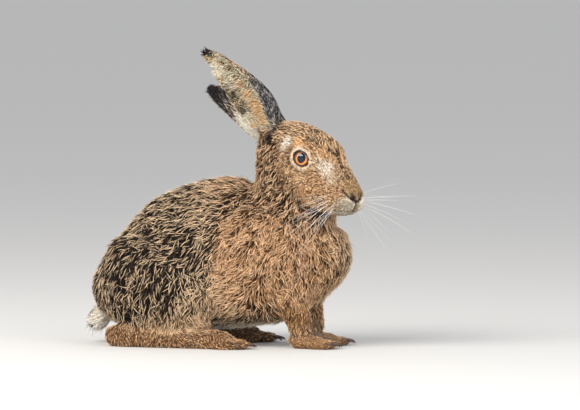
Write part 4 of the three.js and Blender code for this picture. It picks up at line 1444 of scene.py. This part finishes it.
# The pieces of the coat: the kinds of flesh, the stretch along the body in its own frame in millimetres,
# the number of tufts in thousands, the kind of tuft and the slot
COAT_PIECES = {
    "coat_rump": (("torso",), (-200, -72), 11.5, LONG_TUFT, "back_coat"),
    "coat_loin": (("torso",), (-72, 5), 11.5, LONG_TUFT, "back_coat"),
    "coat_withers": (("torso",), (5, 200), 7.0, LONG_TUFT, "back_coat"),
    "coat_neck": (("neck",), WHOLE_LENGTH, 8.5, LONG_TUFT, "back_coat"),
    "coat_shoulders": (("shoulder",), WHOLE_LENGTH, 11.5, LONG_TUFT, "rufous_coat"),
    "coat_haunches_rear": (("haunch",), (-200, -68), 7.5, LONG_TUFT, "back_coat"),
    "coat_haunches_front": (("haunch",), (-68, 200), 7.5, LONG_TUFT, "back_coat"),
    "coat_tail": (("tail",), WHOLE_LENGTH, 1.5, LONG_TUFT, "scut"),
    "coat_legs": (("foreleg", "forepaw", "hind_foot"), WHOLE_LENGTH, 10.0, SHORT_TUFT, "rufous_coat"),
    "coat_face": (("head",), (88, 200), 14.0, SHORT_TUFT, "face_coat"),
    "coat_crown": (("head",), (-200, 88), 8.0, SHORT_TUFT, "face_coat"),
    "coat_ears": (("ear",), WHOLE_LENGTH, 13.0, SHORT_TUFT, "ear_coat"),
}


def picked_triangles(mesh, values, kinds, rear, front):
    """The triangles of the skin that belong to the given kinds of flesh and stretch of the body."""
    triangles = triangle_array(mesh)
    first = triangles[:, 0]
    owned = np.array([kind_of(node) in kinds for node in FLESH])[np.rint(values["node"]).astype(int)]
    own_x = (values["point"][:, 0] - ORIGIN[0]) / MM
    return triangles[owned[first] & (own_x[first] >= rear) & (own_x[first] < front)]


def coat_piece(name):
    """One piece of the coat, with its colours and its map for the bake."""
    kinds, stretch, thousands, rings, slot = COAT_PIECES[name]
    draw = np.random.default_rng(sum(name.encode()))
    skin = bpy.data.objects["skin"].data
    values = skin_values(skin)
    triangles = picked_triangles(skin, values, kinds, *stretch)
    found = rooted(values, triangles, int(thousands * 1000 * settings().coat_fullness), draw)
    found["length"] = found["length"] * settings().coat_length
    in_locks(found, draw)
    paths, side, normals = tuft_paths(found, rings, draw, skin_tree(skin))
    widths = varied(found["width"] * MM, found, draw, WIDTH_CHANCE, WIDTH_BY_TONE)
    points, faces = tuft_mesh(paths, side, normals, widths, rings)
    piece = mesh_object(name, points, faces)
    paint(piece.data, "coat", tuft_colours(found, rings, draw))
    lay_out_tufts(piece.data, found["point"], normals, rings)
    piece.data.materials.append(coat_material())
    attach(piece, "root")


def coat_pieces(tuft):
    for name, (_, _, _, rings, _) in COAT_PIECES.items():
        if rings == tuft:
            coat_piece(name)


class HARE_OT_skin(bpy.types.Operator):
    """Make the skin, one surface over all the flesh, with its folds, markings and the plan of the coat"""
    bl_idname = "hare.skin"
    bl_label = "Skin"

    def execute(self, context):
        mesh = make_skin_mesh()
        even_form(mesh)
        divide_face(mesh)
        points, edges = vertex_array(mesh), edge_array(mesh)
        nodes = nearest_nodes(points)
        shares = {kind: share_of(kind, nodes, edges) for kind in SHARED_KINDS}
        plan = plan_values(nodes, edges)
        by_eye = EYE_DEPTH + (1 - EYE_DEPTH) * soft_step(eye_distance(points), *DEPTH_BY_EYE)
        plan[:, DEPTH] *= face_shortness(points, shares, NOSE_DEPTH) * by_eye
        move_points(mesh, inset_by_coat(mesh, plan, edges))
        points, normals = vertex_array(mesh), vertex_array(mesh, "normal")
        points, dark, bare = carve_face(points, normals, skin_tree(mesh))
        move_points(mesh, points)
        normals = vertex_array(mesh, "normal")
        tree = skin_tree(mesh)
        lie = lie_of_coat(tree, points, evened(normals, edges, LIE_ROUNDS), shares)
        rows = coat_looks(tree, points, normals, nodes, edges, shares)
        keep_skin_values(mesh, points, plan, lie, rows, shares, bare, nodes)
        paint_skin(mesh, points, rows, shares, dark)
        mesh.materials.append(skin_material())
        piece = bpy.data.objects["skin"]
        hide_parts(*FLESH, *PADS)
        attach(piece, "root")
        return {"FINISHED"}


class HARE_OT_body_coat(bpy.types.Operator):
    """Make the tufts of the back, neck, shoulders, haunches and tail"""
    bl_idname = "hare.body_coat"
    bl_label = "Body coat"

    def execute(self, context):
        coat_pieces(LONG_TUFT)
        return {"FINISHED"}


class HARE_OT_short_coat(bpy.types.Operator):
    """Make the short tufts of the head, ears, legs and feet"""
    bl_idname = "hare.short_coat"
    bl_label = "Short coat"

    def execute(self, context):
        coat_pieces(SHORT_TUFT)
        return {"FINISHED"}


# Materials

def new_material(name):
    material = bpy.data.materials.new(name)
    material.use_nodes = True
    tree = material.node_tree
    return material, tree, tree.nodes["Principled BSDF"]


def add_node(tree, kind, **values):
    node = tree.nodes.new(kind)
    for name, value in values.items():
        if name in node.inputs:
            node.inputs[name].default_value = value
        else:
            setattr(node, name.lower(), value)
    return node


def noise(tree, size, detail=3.0):
    """A noise with swells of about the given size in metres."""
    place = tree.nodes.new("ShaderNodeTexCoord")
    node = add_node(tree, "ShaderNodeTexNoise", Scale=1 / size, Detail=detail)
    tree.links.new(place.outputs["Object"], node.inputs["Vector"])
    return node.outputs["Fac"]


# The noise's values lie mostly between these two
NOISE_REACH = (0.3, 0.7)


def value_range(tree, source, low, high):
    node = tree.nodes.new("ShaderNodeMapRange")
    for name, value in zip(("From Min", "From Max", "To Min", "To Max"), (*NOISE_REACH, low, high)):
        node.inputs[name].default_value = value
    tree.links.new(source, node.inputs["Value"])
    return node.outputs["Result"]


def times(tree, rgb, factor):
    node = tree.nodes.new("ShaderNodeMix")
    node.data_type = "RGBA"
    node.blend_type = "MULTIPLY"
    node.inputs["Factor"].default_value = 1
    tree.links.new(rgb, node.inputs["A"])
    tree.links.new(factor, node.inputs["B"])
    return node.outputs["Result"]


def bump(tree, shader, height, strength, distance):
    node = add_node(tree, "ShaderNodeBump", Strength=strength, Distance=distance)
    tree.links.new(height, node.inputs["Height"])
    tree.links.new(node.outputs["Normal"], shader.inputs["Normal"])


def painted(name, layer, roughness, streaks, bumps=None, gloss=0.5):
    """A painted surface, streaked darker and lighter, over a fine uneven one.

    The streaks have a size, a darkest and a lightest share, and the bumps a size, a strength and a height.
    """
    material, tree, shader = new_material(name)
    marks = add_node(tree, "ShaderNodeAttribute", attribute_name=layer)
    size, darkest, lightest = streaks
    tone = value_range(tree, noise(tree, size), darkest, lightest)
    tree.links.new(times(tree, marks.outputs["Color"], tone), shader.inputs["Base Color"])
    shader.inputs["Roughness"].default_value = roughness
    shader.inputs["Specular IOR Level"].default_value = gloss
    if bumps:
        size, strength, height = bumps
        bump(tree, shader, noise(tree, size), strength, height)
    return material


def furred(name, roughness, grain, strength):
    """Hair: the painted markings, streaked a little lighter and darker, with a fine uneven surface."""
    bumps = (grain * 0.6, strength, 0.4 * MM)
    return painted(name, "coat", roughness, streaks=(grain, 0.82, 1.12), bumps=bumps, gloss=0.1)


def skin_material():
    return furred("short_hair", 0.62, 1.1 * MM, 0.9)


def coat_material():
    return bpy.data.materials.get("hair_tufts") or furred("hair_tufts", 0.5, 1.6 * MM, 0.35)


# Surfaces from rings of points

def ring_faces(rings, sides, closed=False):
    """Triangles between rings of points; in a closed run the last ring meets the first."""
    faces = []
    for ring in range(rings if closed else rings - 1):
        after = (ring + 1) % rings
        for k in range(sides):
            a, b = ring * sides + k, ring * sides + (k + 1) % sides
            c, d = after * sides + k, after * sides + (k + 1) % sides
            faces += [(a, b, c), (b, d, c)]
    return faces


def closed_rings(rings, start, end):
    """Points and triangles of a run of rings, closed by a point at each end."""
    count, sides = rings.shape[:2]
    faces = ring_faces(count, sides)
    first, last = count * sides, count * sides + 1
    for k in range(sides):
        after = (k + 1) % sides
        faces.append((first, after, k))
        faces.append((last, (count - 1) * sides + k, (count - 1) * sides + after))
    return np.concatenate([rings.reshape(-1, 3), [start, end]]), np.array(faces)


# Eyes

GLOBE_RADIUS = EYE_RADIUS - 0.25 * MM
GLOBE_STEPS = 22
IRIS_RADIUS = 7.5 * MM
PUPIL_RADIUS = 4.9 * MM
PUPIL_NARROW = 0.82
CORNEA_RADIUS = 9.5 * MM
CORNEA_STEPS = 12
CORNEA_THICKNESS = 0.25 * MM
CORNEA_RIM_SHARE = 1.04
CORNEA_BACK_SHARE = 0.97
EYE_TURNS = 64

# From the globe's rim inwards: the depth in millimetres, and the share of the iris's or the pupil's radius
IRIS_DISH = ((0.25, 0.97), (0.5, 0.82))
PUPIL_DISH = ((0.62, 1.06), (0.75, 1.0), (1.6, 0.96), (1.7, 0.4), (1.7, 0.0))

# The iris: two sets of fibres round the pupil with their tones, and the upper lid's shade on it
FIBRES = (37, 61)
FIBRE_WAVES = 5
FIBRE_TONES = (0.8, 1.15)
SHADE_BAND = (-0.2, 0.9)
SHADE_TONES = (1.1, 0.35)
PUPIL_BLACK = 0.004

# How far out the pupil's black and the iris's colours go, and how far out the iris is narrowed with the pupil
PUPIL_EDGE = PUPIL_RADIUS * 1.01
IRIS_EDGE = IRIS_RADIUS * 0.94
NARROW_EDGE = IRIS_RADIUS * 0.9

# The section of the lids in millimetres: out from the opening's edge, and forward
LID_SECTION = (
    (-0.3, -0.3), (0.0, 0.35), (0.5, 0.65), (1.4, 0.6), (2.1, 0.1), (3.2, -1.0), (3.0, -2.6), (0.4, -1.6),
)
LID_TURNS = 72


def eye_ring(height, reach, angles):
    """A ring of points round the look of an eye."""
    heights = np.broadcast_to(height, angles.shape)
    return np.stack([heights, reach * np.cos(angles), reach * np.sin(angles)], 1)


def lathe(profile):
    """A surface round the look of an eye, from heights and radii; the ends close on the axis."""
    angles = np.linspace(0, 2 * math.pi, EYE_TURNS, endpoint=False)
    rings = np.array([eye_ring(height, radius, angles) for height, radius in profile[1:-1]])
    return closed_rings(rings, (profile[0][0], 0, 0), (profile[-1][0], 0, 0))


def ball_profile():
    """The globe from behind to the rim of the iris, then the iris as a shallow dish, and the pupil."""
    turns = np.linspace(math.pi, math.asin(IRIS_RADIUS / GLOBE_RADIUS), GLOBE_STEPS)
    profile = [(GLOBE_RADIUS * math.cos(turn), GLOBE_RADIUS * math.sin(turn)) for turn in turns]
    rim = profile[-1][0]
    profile += [(rim - depth * MM, IRIS_RADIUS * share) for depth, share in IRIS_DISH]
    return profile + [(rim - depth * MM, PUPIL_RADIUS * share) for depth, share in PUPIL_DISH]


def cornea_profile():
    """A clear dome over the iris, a little prouder than the globe."""
    edge = IRIS_RADIUS * CORNEA_RIM_SHARE
    limb = math.asin(edge / CORNEA_RADIUS)
    rim = GLOBE_RADIUS * math.cos(math.asin(edge / GLOBE_RADIUS))
    front = [
        (rim + CORNEA_RADIUS * (math.cos(turn) - math.cos(limb)), CORNEA_RADIUS * math.sin(turn))
        for turn in np.linspace(0, limb, CORNEA_STEPS)
    ]
    back = [(height - CORNEA_THICKNESS, reach * CORNEA_BACK_SHARE) for height, reach in reversed(front)]
    return list(reversed(front + back))


def eye_place(points, side):
    """From the eye's own frame, X along its look, to the hare."""
    look, aside, up = eye_frame(side)
    centre = EYES_IN_HEAD + EYE_ASIDE * side
    local = centre + points[:, :1] * look + points[:, 1:2] * aside + points[:, 2:] * up
    return from_head(local)


def iris_colours(points, away):
    """Fibres round the black pupil, lighter than the rim, in the shade of the upper lid."""
    turn = np.arctan2(points[:, 2], points[:, 1])
    many, most = FIBRES
    wavy = np.sin(turn * many + 3 * np.sin(turn * FIBRE_WAVES))
    fibres = 0.5 + 0.25 * wavy + 0.25 * np.sin(turn * most + 1.3)
    share = np.clip((away - PUPIL_RADIUS) / (IRIS_RADIUS - PUPIL_RADIUS), 0, 1)[:, None]
    iris = blended(colour("iris_inner"), colour("iris_outer"), share) * between(*FIBRE_TONES, fibres[:, None])
    shaded = iris * between(*SHADE_TONES, soft_step(points[:, 2:] / IRIS_RADIUS, *SHADE_BAND))
    return np.where((away < PUPIL_EDGE)[:, None], PUPIL_BLACK, shaded)


def eyeball(name, side):
    points, faces = lathe(ball_profile())
    away = np.linalg.norm(points[:, 1:], axis=1)
    front = points[:, 0] > 0
    in_iris = (front & (away <= IRIS_EDGE))[:, None]
    rgb = np.where(in_iris, iris_colours(points, away), colour("bare_skin") * 0.5)
    points[:, 1] *= np.where(front & (away < NARROW_EDGE), PUPIL_NARROW, 1)
    piece = mesh_object(name, eye_place(points, side), outward(faces, side))
    paint(piece.data, "eye", rgb)
    return piece


def outward(faces, side):
    """Turns the faces to point out, on both sides of the head."""
    return faces if side > 0 else faces[:, ::-1]


def iris_material():
    bumps = (0.5 * MM, 0.3, 0.2 * MM)
    return painted("eye_iris", "eye", roughness=0.5, streaks=(0.9 * MM, 0.8, 1.15), bumps=bumps, gloss=0.05)


def cornea_material():
    """A clear film with a thin shine over it."""
    material, tree, shader = new_material("eye_water")
    clear = tree.nodes.new("ShaderNodeBsdfTransparent")
    gloss = add_node(tree, "ShaderNodeBsdfGlossy", Roughness=0.04)
    # The shine is tinted a painted sky blue, standing for a sky mirrored in the eye
    gloss.inputs["Color"].default_value = (*colour("eye_sky_tint"), 1)
    both = add_node(tree, "ShaderNodeMixShader", Fac=0.036)
    tree.links.new(clear.outputs["BSDF"], both.inputs[1])
    tree.links.new(gloss.outputs["BSDF"], both.inputs[2])
    tree.links.new(both.outputs["Shader"], tree.nodes["Material Output"].inputs["Surface"])
    tree.nodes.remove(shader)
    return material


def lid_rims():
    """The dark rim of the lids: a band round the opening, from the globe over a soft edge to the skin."""
    angles = np.linspace(-math.pi, math.pi, LID_TURNS, endpoint=False)
    opening = opening_radius(angles)
    level = np.sqrt(EYE_RADIUS ** 2 - opening ** 2)
    rows = []
    for aside, out in LID_SECTION:
        reach = opening + aside * MM
        height = np.sqrt(np.maximum(EYE_RADIUS ** 2 - np.minimum(reach, EYE_RADIUS) ** 2, 0))
        rows.append(eye_ring((height + level) / 2 + out * MM, reach, angles))
    faces = ring_faces(LID_TURNS, len(LID_SECTION), closed=True)
    return np.stack(rows, 1).reshape(-1, 3), np.array(faces)[:, ::-1]


def lid_material():
    bumps = (0.5 * MM, 0.4, 0.2 * MM)
    return painted("lid_skin", "lid", roughness=0.32, streaks=(0.8 * MM, 0.7, 1.3), bumps=bumps)


class HARE_OT_eyes(bpy.types.Operator):
    """Make the eyes: globe with a sunk iris, clear cornea and the dark rim of the lids"""
    bl_idname = "hare.eyes"
    bl_label = "Eyes"

    def execute(self, context):
        iris, water, lid_skin = iris_material(), cornea_material(), lid_material()
        for name, side in SIDES.items():
            ball = eyeball("eyeball_" + name, side)
            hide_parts("eye_" + name)
            points, faces = lathe(cornea_profile())
            cornea = mesh_object("cornea_" + name, eye_place(points, side), outward(faces, side))
            points, faces = lid_rims()
            lids = mesh_object("lids_" + name, eye_place(points, side), outward(faces, side))
            paint(lids.data, "lid", colour("bare_skin"))
            for piece, material in ((ball, iris), (cornea, water), (lids, lid_skin)):
                piece.data.materials.append(material)
                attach(piece, "root")
        return {"FINISHED"}


# Whiskers: turns (columns) and rises (rows) in the head's frame in degrees, as they leave each pad
WHISKERS = {
    "right": {"turns": (74, 94, 112), "rises": (-28, -42, -56)},
    "left": {"turns": (32, 58, 88), "rises": (18, 0, -26)},
}
WHISKER_ROOTS = {"turns": (55, 81, 107), "rises": (22, -2, -26)}
WHISKER_LENGTH = 62 * MM
WHISKER_ROOT_RADIUS = 0.15 * MM
WHISKER_STEPS = 14
WHISKER_SIDES = 5
PAD_ASIDE = 8 * MM
WHISKER_TAPER = 0.8
WHISKER_SINK = 1.5 * MM
WHISKER_CHANCE = (0.94, 1.0)
WHISKER_SPREAD = 0.05
WHISKER_DROOP = np.array([0, 0, -0.1])
DROOP_CHANCE = (0.6, 1.2)
SHORTER_BY_ROW = 0.09
SHORTER_BY_COLUMN = 0.05

# The second whisker of each pair: how much it spreads, stands apart, and is shorter and thinner
SECOND_SPREAD = 0.13
SECOND_APART = 0.8
SECOND_SHORTER = 0.35
SECOND_THINNER = 0.2


def whisker_grid(fan, side):
    return [way(side * turn, rise) for turn in fan["turns"] for rise in fan["rises"]]


def whisker_roots(tree, side):
    centre = PAD_CENTRE * (1, 0, 1) + np.array([0, PAD_ASIDE * side, 0])
    return on_skin(tree, centre, whisker_grid(WHISKER_ROOTS, side))


# A way that no whisker or claw follows, to set out the rings of a tube from
TUBE_SIDEWAYS = (0.31, 0.2, 0.93)


def tube(path, radius, sides):
    """Points and triangles of a closed tube along a path, with a radius at each step."""
    tangents = unit(np.gradient(path, axis=0))
    first = unit(np.cross(tangents, TUBE_SIDEWAYS))
    second = np.cross(tangents, first)
    angles = np.linspace(0, 2 * math.pi, sides, endpoint=False)[:, None]
    turned = first[:, None] * np.cos(angles) + second[:, None] * np.sin(angles)
    return closed_rings(path[:, None] + radius[:, None, None] * turned, path[0], path[-1])


def joined_tubes(name, tubes):
    points = [tube_points for tube_points, _ in tubes]
    starts = np.cumsum([0] + [len(one) for one in points[:-1]])
    faces = [tube_faces + start for (_, tube_faces), start in zip(tubes, starts)]
    return mesh_object(name, np.concatenate(points), np.concatenate(faces))


def whisker_material():
    return painted("whisker_hair", "hair", roughness=0.35, streaks=(2 * MM, 0.85, 1.1))


def whisker(root, towards, shorter, second, draw):
    """One whisker; the second of a pair is finer and shorter and stands a little apart."""
    spread = draw.normal(size=3) * (WHISKER_SPREAD + SECOND_SPREAD * second)
    ahead = HEAD_AXES @ unit(towards + spread)
    t = np.linspace(0, 1, WHISKER_STEPS)
    share = shorter * draw.uniform(*WHISKER_CHANCE) * (1 - SECOND_SHORTER * second)
    reach = WHISKER_LENGTH * settings().whisker_length * share
    droop = HEAD_AXES @ WHISKER_DROOP * reach * draw.uniform(*DROOP_CHANCE)
    start = root + draw.normal(size=3) * SECOND_APART * MM * second - ahead * WHISKER_SINK
    path = start + ahead * reach * t[:, None] + droop * t[:, None] ** 2
    radius = WHISKER_ROOT_RADIUS * (1 - SECOND_THINNER * second)
    return tube(path, radius * (1 - WHISKER_TAPER * t), WHISKER_SIDES)


class HARE_OT_whiskers(bpy.types.Operator):
    """Make the whiskers, in fans from both sides of the muzzle"""
    bl_idname = "hare.whiskers"
    bl_label = "Whiskers"

    def execute(self, context):
        tree = skin_tree(bpy.data.objects["skin"].data)
        draw = np.random.default_rng(31)
        tubes = []
        for name, side in SIDES.items():
            roots = from_head(whisker_roots(tree, side))
            for number, (root, towards) in enumerate(zip(roots, whisker_grid(WHISKERS[name], side))):
                column, row = divmod(number, len(WHISKER_ROOTS["rises"]))
                shorter = 1 - SHORTER_BY_ROW * row - SHORTER_BY_COLUMN * column
                tubes += [whisker(root, towards, shorter, second, draw) for second in (0, 1)]
        piece = joined_tubes("whiskers", tubes)
        paint(piece.data, "hair", colour("whisker"))
        piece.data.materials.append(whisker_material())
        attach(piece, "root")
        return {"FINISHED"}


# Claws: the feet in the body's own frame, the toes' reach along the foot and the line of a claw on its toe
FEET = {
    "hind": {"heel": (-112, -40), "length": 146, "splay": -4, "toe": 5.6, "claw": 7},
    "fore": {"heel": (66, -21), "length": 46, "splay": -6, "toe": 4.6, "claw": 5.5},
}
TOE_SPACING = 1.45
CLAW_SPREAD = 1.06
TOE_REACHES = (0.93, 1.0, 0.99, 0.9)
CLAW_LINE = ((-0.7, 5.0, 1.3), (0.0, 5.0, 1.25), (0.5, 4.4, 1.0), (0.85, 3.2, 0.65), (1.0, 2.0, 0.15))
CLAW_SIDES = 8
CLAW_HEIGHT = 5 * MM
CLAW_TONES = (0.7, 1.2)


def claw_tube(foot, reach, place, side):
    splay = math.radians(foot["splay"])
    ahead = np.array([math.cos(splay), math.sin(splay), 0])
    aside = np.array([-math.sin(splay), math.cos(splay), 0])
    line = np.array(CLAW_LINE)
    spacing = foot["toe"] * TOE_SPACING * CLAW_SPREAD
    start = np.array([*foot["heel"], 0]) + ahead * foot["length"] * reach + aside * spacing * place
    path = start + line[:, :1] * foot["claw"] * ahead
    path[:, 2] = line[:, 1]
    return tube(ORIGIN + path * (1, -side, 1) * MM, line[:, 2] * MM, CLAW_SIDES)


def claw_material():
    bumps = (0.7 * MM, 0.3, 0.2 * MM)
    return painted("claw_horn", "horn", roughness=0.38, streaks=(1.2 * MM, 0.75, 1.3), bumps=bumps)


class HARE_OT_claws(bpy.types.Operator):
    """Make the four claws of each foot"""
    bl_idname = "hare.claws"
    bl_label = "Claws"

    def execute(self, context):
        claws = [
            claw_tube(foot, reach, number - 1.5, side)
            for foot in FEET.values() for side in SIDES.values() for number, reach in enumerate(TOE_REACHES)
        ]
        piece = joined_tubes("claws", claws)
        height = vertex_array(piece.data)[:, 2:] / CLAW_HEIGHT
        paint(piece.data, "horn", colour("claw") * between(*CLAW_TONES, np.clip(height, 0, 1)))
        piece.data.materials.append(claw_material())
        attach(piece, "root")
        return {"FINISHED"}


# The studio: half the floor's side, the light all round and where the lamps aim
FLOOR_REACH = 60.0
WORLD_TINT = (0.93, 0.95, 1.0)
WORLD_STRENGTH = 0.78
LAMP_AIM = Vector((0, 0, 0.13))
FARTHEST_SEEN = 200

# The lamps: place, width and height, power in watts and tint
LAMPS = {
    "key": ((-0.8, -1.5, 1.4), (1.8, 1.1), 58, (1.0, 0.97, 0.92)),
    "fill": ((1.6, -1.2, 0.9), (1.2, 1.2), 16, (0.97, 0.98, 1.0)),
}


def stage_material():
    material, _, shader = new_material("pale_floor")
    shader.inputs["Base Color"].default_value = (*colour("floor"), 1)
    shader.inputs["Roughness"].default_value = 0.9
    shader.inputs["Specular IOR Level"].default_value = 0.2
    return material


def area_light(name, place, size, power, tint):
    lamp = bpy.data.lights.new(name, "AREA")
    lamp.shape = "RECTANGLE"
    lamp.size, lamp.size_y = size
    lamp.energy = power
    lamp.color = tint
    piece = bpy.data.objects.new(name, lamp)
    piece.location = place
    piece.rotation_euler = (LAMP_AIM - piece.location).to_track_quat("-Z", "Y").to_euler()
    bpy.context.scene.collection.objects.link(piece)


def make_world():
    world = bpy.data.worlds.new("studio")
    world.use_nodes = True
    light = world.node_tree.nodes["Background"].inputs
    light["Color"].default_value = (*WORLD_TINT, 1)
    light["Strength"].default_value = WORLD_STRENGTH
    bpy.context.scene.world = world


def make_camera():
    camera = bpy.data.cameras.new("camera")
    camera.sensor_width = SENSOR_WIDTH
    camera.lens = SENSOR_WIDTH * CAMERA_DISTANCE / (PICTURE_SIZE[0] * PICTURE_SCALE)
    camera.clip_end = FARTHEST_SEEN
    piece = bpy.data.objects.new("camera", camera)
    turn = Matrix((CAMERA_RIGHT, CAMERA_UP, CAMERA_BACK)).transposed()
    piece.matrix_world = Matrix.Translation(camera_place()) @ turn.to_4x4()
    bpy.context.scene.collection.objects.link(piece)
    bpy.context.scene.camera = piece


class HARE_OT_studio(bpy.types.Operator):
    """Make the floor, the soft lights and the camera"""
    bl_idname = "hare.studio"
    bl_label = "Studio"

    def execute(self, context):
        corners = [(x * FLOOR_REACH, y * FLOOR_REACH, 0) for x, y in ((-1, -1), (1, -1), (1, 1), (-1, 1))]
        floor = mesh_object("floor", corners, [(0, 1, 2, 3)], smooth=False)
        floor.data.materials.append(stage_material())
        make_world()
        for name, row in LAMPS.items():
            area_light(name, *row)
        make_camera()
        context.scene.view_settings.view_transform = "Standard"
        return {"FINISHED"}


def colour_property(name, code, words):
    return bpy.props.FloatVectorProperty(
        name=name, description=words, default=shade(code), size=3, min=0, max=1, subtype="COLOR_GAMMA")


def share_property(name, words):
    return bpy.props.FloatProperty(name=name, description=words, default=1.0, subtype="FACTOR")


class HareSizes(bpy.types.PropertyGroup):
    """Sizes of the skin and coat"""
    skin_grain: bpy.props.FloatProperty(
        name="Skin grain", description="Size of the skin's faces", default=1.84 * MM, unit="LENGTH")
    coat_length: share_property("Coat length", "Length of the tufts against the plan")
    coat_fullness: share_property("Coat fullness", "Number of tufts against the plan")
    whisker_length: share_property("Whisker length", "Length of the whiskers against the plan")


class HareColours(bpy.types.PropertyGroup):
    """Colours of the coat, eyes and studio"""
    dark_root: colour_property("Dark root", "150F11", "Roots of the hair on the back")
    cream: colour_property("Cream", "E4C6A2", "Tips of the hair on the back")
    rufous_root: colour_property("Rufous root", "46301F", "Roots of the hair on the shoulders")
    rufous: colour_property("Rufous", "BC8A60", "Hair of the shoulders and flanks")
    rust: colour_property("Rust", "B88A5E", "Hair of the forelegs")
    white: colour_property("White", "EDE5D8", "Belly, tail and white patches")
    black: colour_property("Black", "1C1B1F", "Ear tips and the top of the tail")
    face: colour_property("Face", "C09870", "Hair of the head")
    brow: colour_property("Brow", "ECB478", "Hair above the eye")
    nose: colour_property("Nose", "96794E", "Hair of the top of the nose")
    lip: colour_property("Lip", "C6BFAE", "Hair of the lips and chin")
    ear_inside: colour_property("Ear inside", "D2C8AA", "Hair inside the ears")
    ear_fringe: colour_property("Ear fringe", "C8965C", "Fringe at the ear's leading edge")
    ear_outside: colour_property("Ear outside", "4A464A", "Hair outside the ears")
    bare_skin: colour_property("Bare skin", "2B211E", "Lids, nostrils and the cleft of the lip")
    iris_inner: colour_property("Iris, inner", "E8963F", "Iris round the pupil")
    iris_outer: colour_property("Iris, outer", "B4622A", "Iris at its rim")
    # A painted sky blue on what the eye mirrors, in place of a mirrored sky
    eye_sky_tint: colour_property("Eye shine", "B8CCF0", "What the wet eye adds to the light that it mirrors")
    whisker: colour_property("Whisker", "F4F2EC", "Whiskers")
    claw: colour_property("Claw", "3B2C22", "Claws")
    floor: colour_property("Floor", "D0CECA", "The studio's floor")


class HARE_PT_panel(bpy.types.Panel):
    """The hare's pieces, sizes and colours"""
    bl_idname = "HARE_PT_panel"
    bl_label = "Brown hare"
    bl_space_type = "VIEW_3D"
    bl_region_type = "UI"
    bl_category = "Hare"

    def draw(self, context):
        for step in STEPS:
            self.layout.operator(step.bl_idname)
        for group in (settings(), colours()):
            for name in group.__annotations__:
                self.layout.prop(group, name)


STEPS = (
    HARE_OT_studio, HARE_OT_skin, HARE_OT_body_coat, HARE_OT_short_coat,
    HARE_OT_eyes, HARE_OT_whiskers, HARE_OT_claws,
)
CLASSES = (HareSizes, HareColours, *STEPS, HARE_PT_panel)


def register():
    for one in CLASSES:
        bpy.utils.register_class(one)
    bpy.types.Scene.hare_sizes = bpy.props.PointerProperty(type=HareSizes)
    bpy.types.Scene.hare_colours = bpy.props.PointerProperty(type=HareColours)


def unregister():
    del bpy.types.Scene.hare_sizes
    del bpy.types.Scene.hare_colours
    for one in reversed(CLASSES):
        bpy.utils.unregister_class(one)


def main():
    register()
    for step in STEPS:
        getattr(bpy.ops.hare, step.bl_idname.removeprefix("hare."))()


if __name__ == "__main__":
    main()
